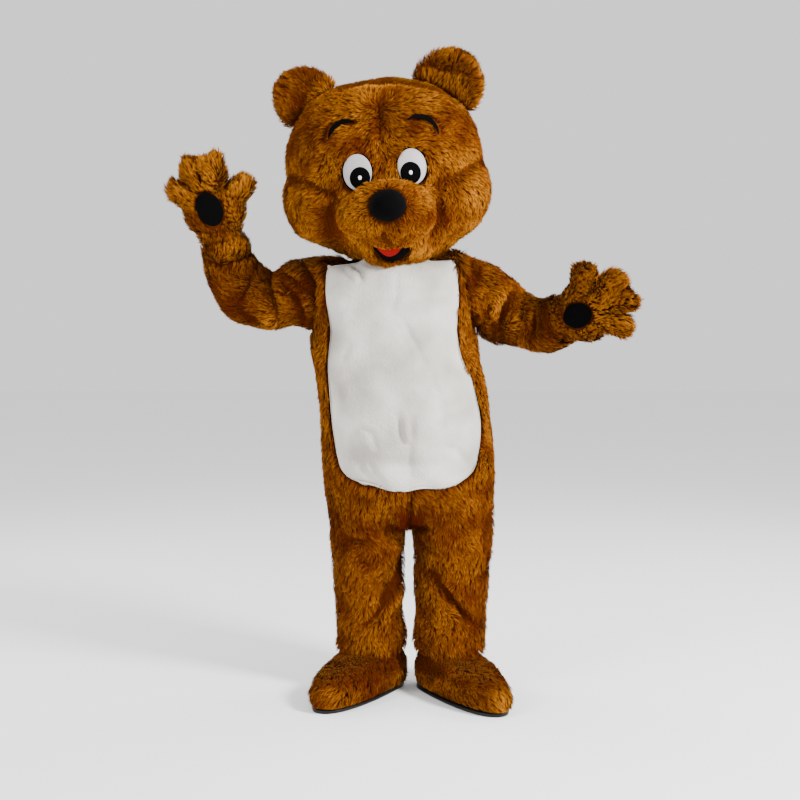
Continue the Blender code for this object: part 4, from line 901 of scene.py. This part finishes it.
def grow(name, skin):
    """The pile of one skin: tapered locks that lie along the nap and gather in tufts."""
    _, length, density, lift, tone_shift = next(row for row in PILES if name.startswith(row[0]))
    root, normal = rooted(name, skin, density)
    count = len(root)
    middle, shared = cell_noise(root, CLUMP)
    way = combed(name, root, normal, shared)
    patch = waves(root, *BROAD_PATCH)[:, 0]
    sunk = crease_depth(name, root, normal)
    longer, steeper = growth(name, root, normal)
    size = length * (LENGTH_LEAST + LENGTH_OWN * dice.random(count) + LENGTH_TUFT * shared[:, 0])
    size *= (1 - CREASE_SHORTENS * np.clip(sunk / DEEP, 0, 1)) * longer
    rise = lift * (1 + RISE_BROAD * patch) + RISE_TUFT * (shared[:, 1] - 0.5)
    rise = np.clip(rise + RISE_OWN * dice.normal(size=count) + steeper, *RISE)[:, None]
    bend, tip = bend_and_tip(name, root, normal, way, middle, size, rise)
    clear = ~(in_the_way(name, bend) | in_the_way(name, tip))
    way, normal, root, bend, tip = (array[clear] for array in (way, normal, root, bend, tip))
    size, shared, patch, sunk = (array[clear] for array in (size, shared, patch, sunk))
    if name.startswith("foot"):
        sunk += SHADOW_DEPTH * smooth_step(*HEM_SHADOW, root[:, 2])
    root = root - normal * ROOT_SINK
    corners = blades(way, normal, root, bend, tip, size)
    return pile_mesh(f"{name}_pile", corners, shades(name, root, tone_shift, patch, shared, sunk))


# Sewing --------
# How many times each kind of piece's sheet is subdivided.
LEVELS = {"body": 2, "sleeve": 2, "head": 2, "cheek": 2, "muzzle": 1, "ear": 1, "glove": 2, "foot": 1}
FUR_NODES = [n for n in sorted(nodes) if n.startswith(tuple(row[0] for row in PILES)) and "pad" not in n]
# How far from a sheet's edge its seam draws it.
SEAM_REACH = 0.011


def lay_cloth(name, levels, material, inset, thickness, seam, spread, unevenness):
    """A thin sheet on a solid's outer form, with its creases, and its edges drawn in or spread."""
    piece = bmesh_piece(f"{name}_cloth", outer_sheet(name), material, levels)
    points, normals = places(piece)
    edge = edge_nearness(piece, SEAM_REACH)
    sink = crease_depth(name, points, normals) + inset + unevenness * waves(points, *SLACK)[:, 0]
    outwards = points - points.mean(axis=0)
    outwards = unit(outwards - normals * np.sum(outwards * normals, axis=1, keepdims=True))
    put(piece, points - normals * (sink + edge * seam)[:, None] + outwards * (edge * spread)[:, None])
    wall = piece.modifiers.new("wall", "SOLIDIFY")
    wall.thickness, wall.offset = thickness, -1.0
    return stand_for(name, piece)


def raise_pads():
    """The palms' felt pads, rounder than their solids, and the pads' surfaces."""
    surfaces = {}
    for label in SIDES:
        name = f"glove_{label}_pad"
        bm = welded(name)
        surfaces[label] = BVHTree.FromBMesh(bm)
        join_quads(bm, 40)
        pad = stand_for(name, bmesh_piece(f"{name}_cloth", bm, felt, 2))
    return surfaces


def sew_fur(name):
    """One fur piece: its backing and the pile on it."""
    levels = LEVELS[name.split("_")[0]]
    skin = lay_cloth(
        name, levels, backing, inset=0.0052, thickness=0.0015, seam=0.0022, spread=0.0, unevenness=0.002
    )
    fur = grow(name, skin)
    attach(fur, "root")


def sew_belly(name):
    """The plush panel, plumper than the fur's backing."""
    belly = lay_cloth(
        name, 3, plush, inset=-0.0030, thickness=0.0022, seam=0.0040, spread=0.0030, unevenness=0.0034
    )


pads = raise_pads()
for name in FUR_NODES:
    sew_fur(name)
sew_belly("belly_panel")


# Face --------
AHEAD = (HEAD.to_3x3() @ Vector((0, 1, 0))).normalized()
# A place in front of the whole face, from where its depth is taken.
OUT_FRONT = 0.6


def face_surface():
    """The smooth front of the head, to lay pieces on."""
    bm = bmesh.new()
    for name in ("head_front_left", "head_front_right", "cheek_left", "cheek_right"):
        piece = bmesh_piece("face_form", outer_sheet(name), backing, 2)
        bm.from_mesh(piece.data)
        bpy.data.objects.remove(piece)
    tree = BVHTree.FromBMesh(bm)
    bm.free()
    return tree


face = face_surface()


def face_depth(across, up):
    """How far forward of the head's middle the face stands at a local place."""
    start = HEAD @ Vector((across, -OUT_FRONT, up))
    hit = face.ray_cast(start, AHEAD)[0]
    return OUT_FRONT - (hit - start).length


# Eyes: their middle, the pupil's shift from it, how far the eyeball bulges and how wide the bulge is.
EYE_ACROSS, EYE_UP, PUPIL_IN, PUPIL_DOWN = 0.072, 0.008, 0.005, 0.016
EYE_BULGE, BULGE_HALF, BULGE_TALL = 0.007, 0.039, 0.049
# The round of a lens's edge.
LENS_EDGE = 0.35
# Half width and half height of an eye's parts, and how far their fronts and backs stand off the face.
RIM_FORM, WHITE_FORM = (0.0422, 0.0522, 0.0045, 0.001), (0.0380, 0.0480, 0.0062, 0.003)
PUPIL_FORM, LIGHT_FORM = (0.0275, 0.0295, 0.0080, 0.005), (0.0050, 0.0060, 0.0095, 0.007)
FINE, COARSE = (48, 16), (24, 8)


def lens(name, middle, form, steps, bulge, material):
    """A flat oval piece on the face, rounded in front by bulge."""
    half, tall, front, back = form
    bm = bmesh.new()
    bmesh.ops.create_uvsphere(bm, u_segments=steps[0], v_segments=steps[1], radius=1.0)
    for vert in bm.verts:
        u, v, w = vert.co
        across, up = middle[0] + half * u, middle[1] + tall * v
        depth = face_depth(across, up)
        out = depth + front + bulge(across, up) if w >= 0 else depth + back
        edge = depth + (front + back) / 2 + bulge(across, up) * 0.5
        blend = abs(w) ** LENS_EDGE
        vert.co = HEAD @ Vector((across, -(edge + (out - edge) * blend), up))
    bmesh.ops.recalc_face_normals(bm, faces=bm.faces)
    return bmesh_piece(name, bm, material)


def eye_bulge(middle):
    """A function that gives how far the eyeball bulges at a place of the face."""
    def bulge(across, up):
        """How far the eyeball stands out here."""
        out = math.hypot((across - middle[0]) / BULGE_HALF, (up - middle[1]) / BULGE_TALL)
        return EYE_BULGE * max(0.0, 1 - out**2) ** 0.6
    return bulge


def no_bulge(across, up):
    """Flat, as the felt rim round an eye is."""
    return 0.0


def make_eye(label, side):
    """One eye: a felt rim, the bulging white, the pupil and the light in it."""
    middle = (side * EYE_ACROSS, EYE_UP)
    pupil = (middle[0] - side * PUPIL_IN, middle[1] - PUPIL_DOWN)
    dome = eye_bulge(middle)
    parts = (
        ("rim", middle, RIM_FORM, FINE, no_bulge, felt, "black_felt"),
        ("white", middle, WHITE_FORM, FINE, dome, vinyl, "white_vinyl"),
        ("pupil", pupil, PUPIL_FORM, FINE, dome, felt, "black_felt"),
        ("light", pupil, LIGHT_FORM, COARSE, dome, gloss, "white_vinyl"),
    )
    for part, place, form, steps, bulge, material, slot in parts:
        piece = lens(f"eye_{label}_{part}", place, form, steps, bulge, material)
        stand_for(f"eye_{part}_{label}", piece)


# A felt crescent: how full its lower edge is, how blunt its tips are, how thick the felt is, and how
# much higher its ends stand than its middle.
CRESCENT_ROUND, CRESCENT_TIP, FELT_WALL, MOUTH_RISE = 0.75, 0.0015, 0.002, 0.008


def crescent(name, middle, half, drop, lift, material):
    """A felt crescent on the face, whose ends run on under the muzzle's pile."""
    bm = bmesh.new()
    bmesh.ops.create_grid(bm, x_segments=24, y_segments=5, size=1.0)
    for vert in bm.verts:
        part, share = vert.co.x, (1 - vert.co.y) / 2
        across = middle[0] + half * part
        top = middle[1] + MOUTH_RISE * part**2
        low = top - drop * max(0.0, 1 - part**2) ** CRESCENT_ROUND - CRESCENT_TIP
        up = top + (low - top) * share
        arch = float(rim_arch((HEAD @ Vector((across, 0, up))).x))
        up += arch * float(smooth_step(ARCH_TOP, ARCH_BASE, up))
        vert.co = HEAD @ Vector((across, -face_depth(across, up) - lift, up))
    wall = bmesh.ops.extrude_face_region(bm, geom=bm.faces[:])["geom"]
    front = [part for part in wall if isinstance(part, bmesh.types.BMVert)]
    bmesh.ops.translate(bm, verts=front, vec=-AHEAD * FELT_WALL)
    bmesh.ops.recalc_face_normals(bm, faces=bm.faces)
    piece = bmesh_piece(f"{name}_felt", bm, material)
    piece.data.set_sharp_from_angle(angle=math.radians(40))
    return stand_for(name, piece)


def round_copy(node, name, material, crease_angle):
    """A rounder copy of a solid that keeps its sharp rims."""
    bm = welded(node)
    join_quads(bm, 40)
    layer = bm.edges.layers.float.new("crease_edge")
    for edge in bm.edges:
        if edge.is_manifold and edge.calc_face_angle() > math.radians(crease_angle):
            edge[layer] = 0.8
    return stand_for(node, bmesh_piece(name, bm, material, 2))


for label, side in SIDES.items():
    make_eye(label, side)
mouth = crescent("mouth", (-0.003, -0.200), half=0.056, drop=0.029, lift=0.0012, material=felt)
tongue = crescent("tongue", (-0.010, -0.200), half=0.036, drop=0.0165, lift=0.0038, material=red)
for label in SIDES:
    brow = nodes[f"brow_{label}"].data
    brow.materials.clear()
    brow.materials.append(felt)
nose = round_copy("nose", "nose_velvet", felt, 80)


# Soles --------

for label in SIDES:
    sole = round_copy(f"sole_{label}", f"sole_{label}_rubber", rubber, 60)


# Studio --------
FLOOR_SIZE = 14
# Lamps: place, what each looks at, size and power.
LAMPS = {
    "key": ((2.9, -2.3, 1.5), (0, 0, -0.3), 0.9, 400),
    "fill": ((-2.8, -2.6, 1.1), (0, 0, -0.4), 1.4, 90),
    "rim_left": ((-2.4, 1.9, 1.3), (0, 0, -0.2), 1.2, 50),
    "rim_right": ((2.4, 1.9, 1.3), (0, 0, -0.2), 1.2, 50),
}
CAMERA_PLACE, CAMERA_TILT, FILM, LENS_LENGTH = (0.0113, -4.2, -0.18), 86.2, 36.0, 67.0


def lay_floor():
    """A wide pale floor under the soles."""
    floor_finish = finish("pale_floor", (0.95, 0.95, 0.95), 0.95, specular=0.0)[0]
    bm = bmesh.new()
    under = Matrix.Translation((0, 0, FLOOR))
    bmesh.ops.create_grid(bm, x_segments=1, y_segments=1, size=FLOOR_SIZE, matrix=under)
    floor = bmesh_piece("floor", bm, floor_finish)


def light_sky():
    """Even white light from all round."""
    world = bpy.data.worlds.new("studio")
    world.use_nodes = True
    sky = world.node_tree.nodes["Background"]
    sky.inputs["Color"].default_value = (1.0, 1.0, 1.0, 1)
    sky.inputs["Strength"].default_value = 1.15
    scene.world = world


def softbox(name, place, target, size, power):
    """A square area lamp that looks at a place."""
    light = bpy.data.lights.new(name, "AREA")
    light.shape, light.size, light.energy = "SQUARE", size, power
    lamp = bpy.data.objects.new(name, light)
    lamp.location = place
    lamp.rotation_euler = (Vector(target) - Vector(place)).to_track_quat("-Z", "Y").to_euler()
    scene.collection.objects.link(lamp)


def set_camera():
    """The camera, in front and a little above, tilted down."""
    film = bpy.data.cameras.new("camera")
    film.sensor_width, film.lens = FILM, LENS_LENGTH
    camera = bpy.data.objects.new("camera", film)
    camera.location = CAMERA_PLACE
    camera.rotation_euler = (math.radians(CAMERA_TILT), 0, 0)
    scene.collection.objects.link(camera)
    scene.camera = camera


lay_floor()
light_sky()
for name, lamp in LAMPS.items():
    softbox(name, *lamp)
set_camera()
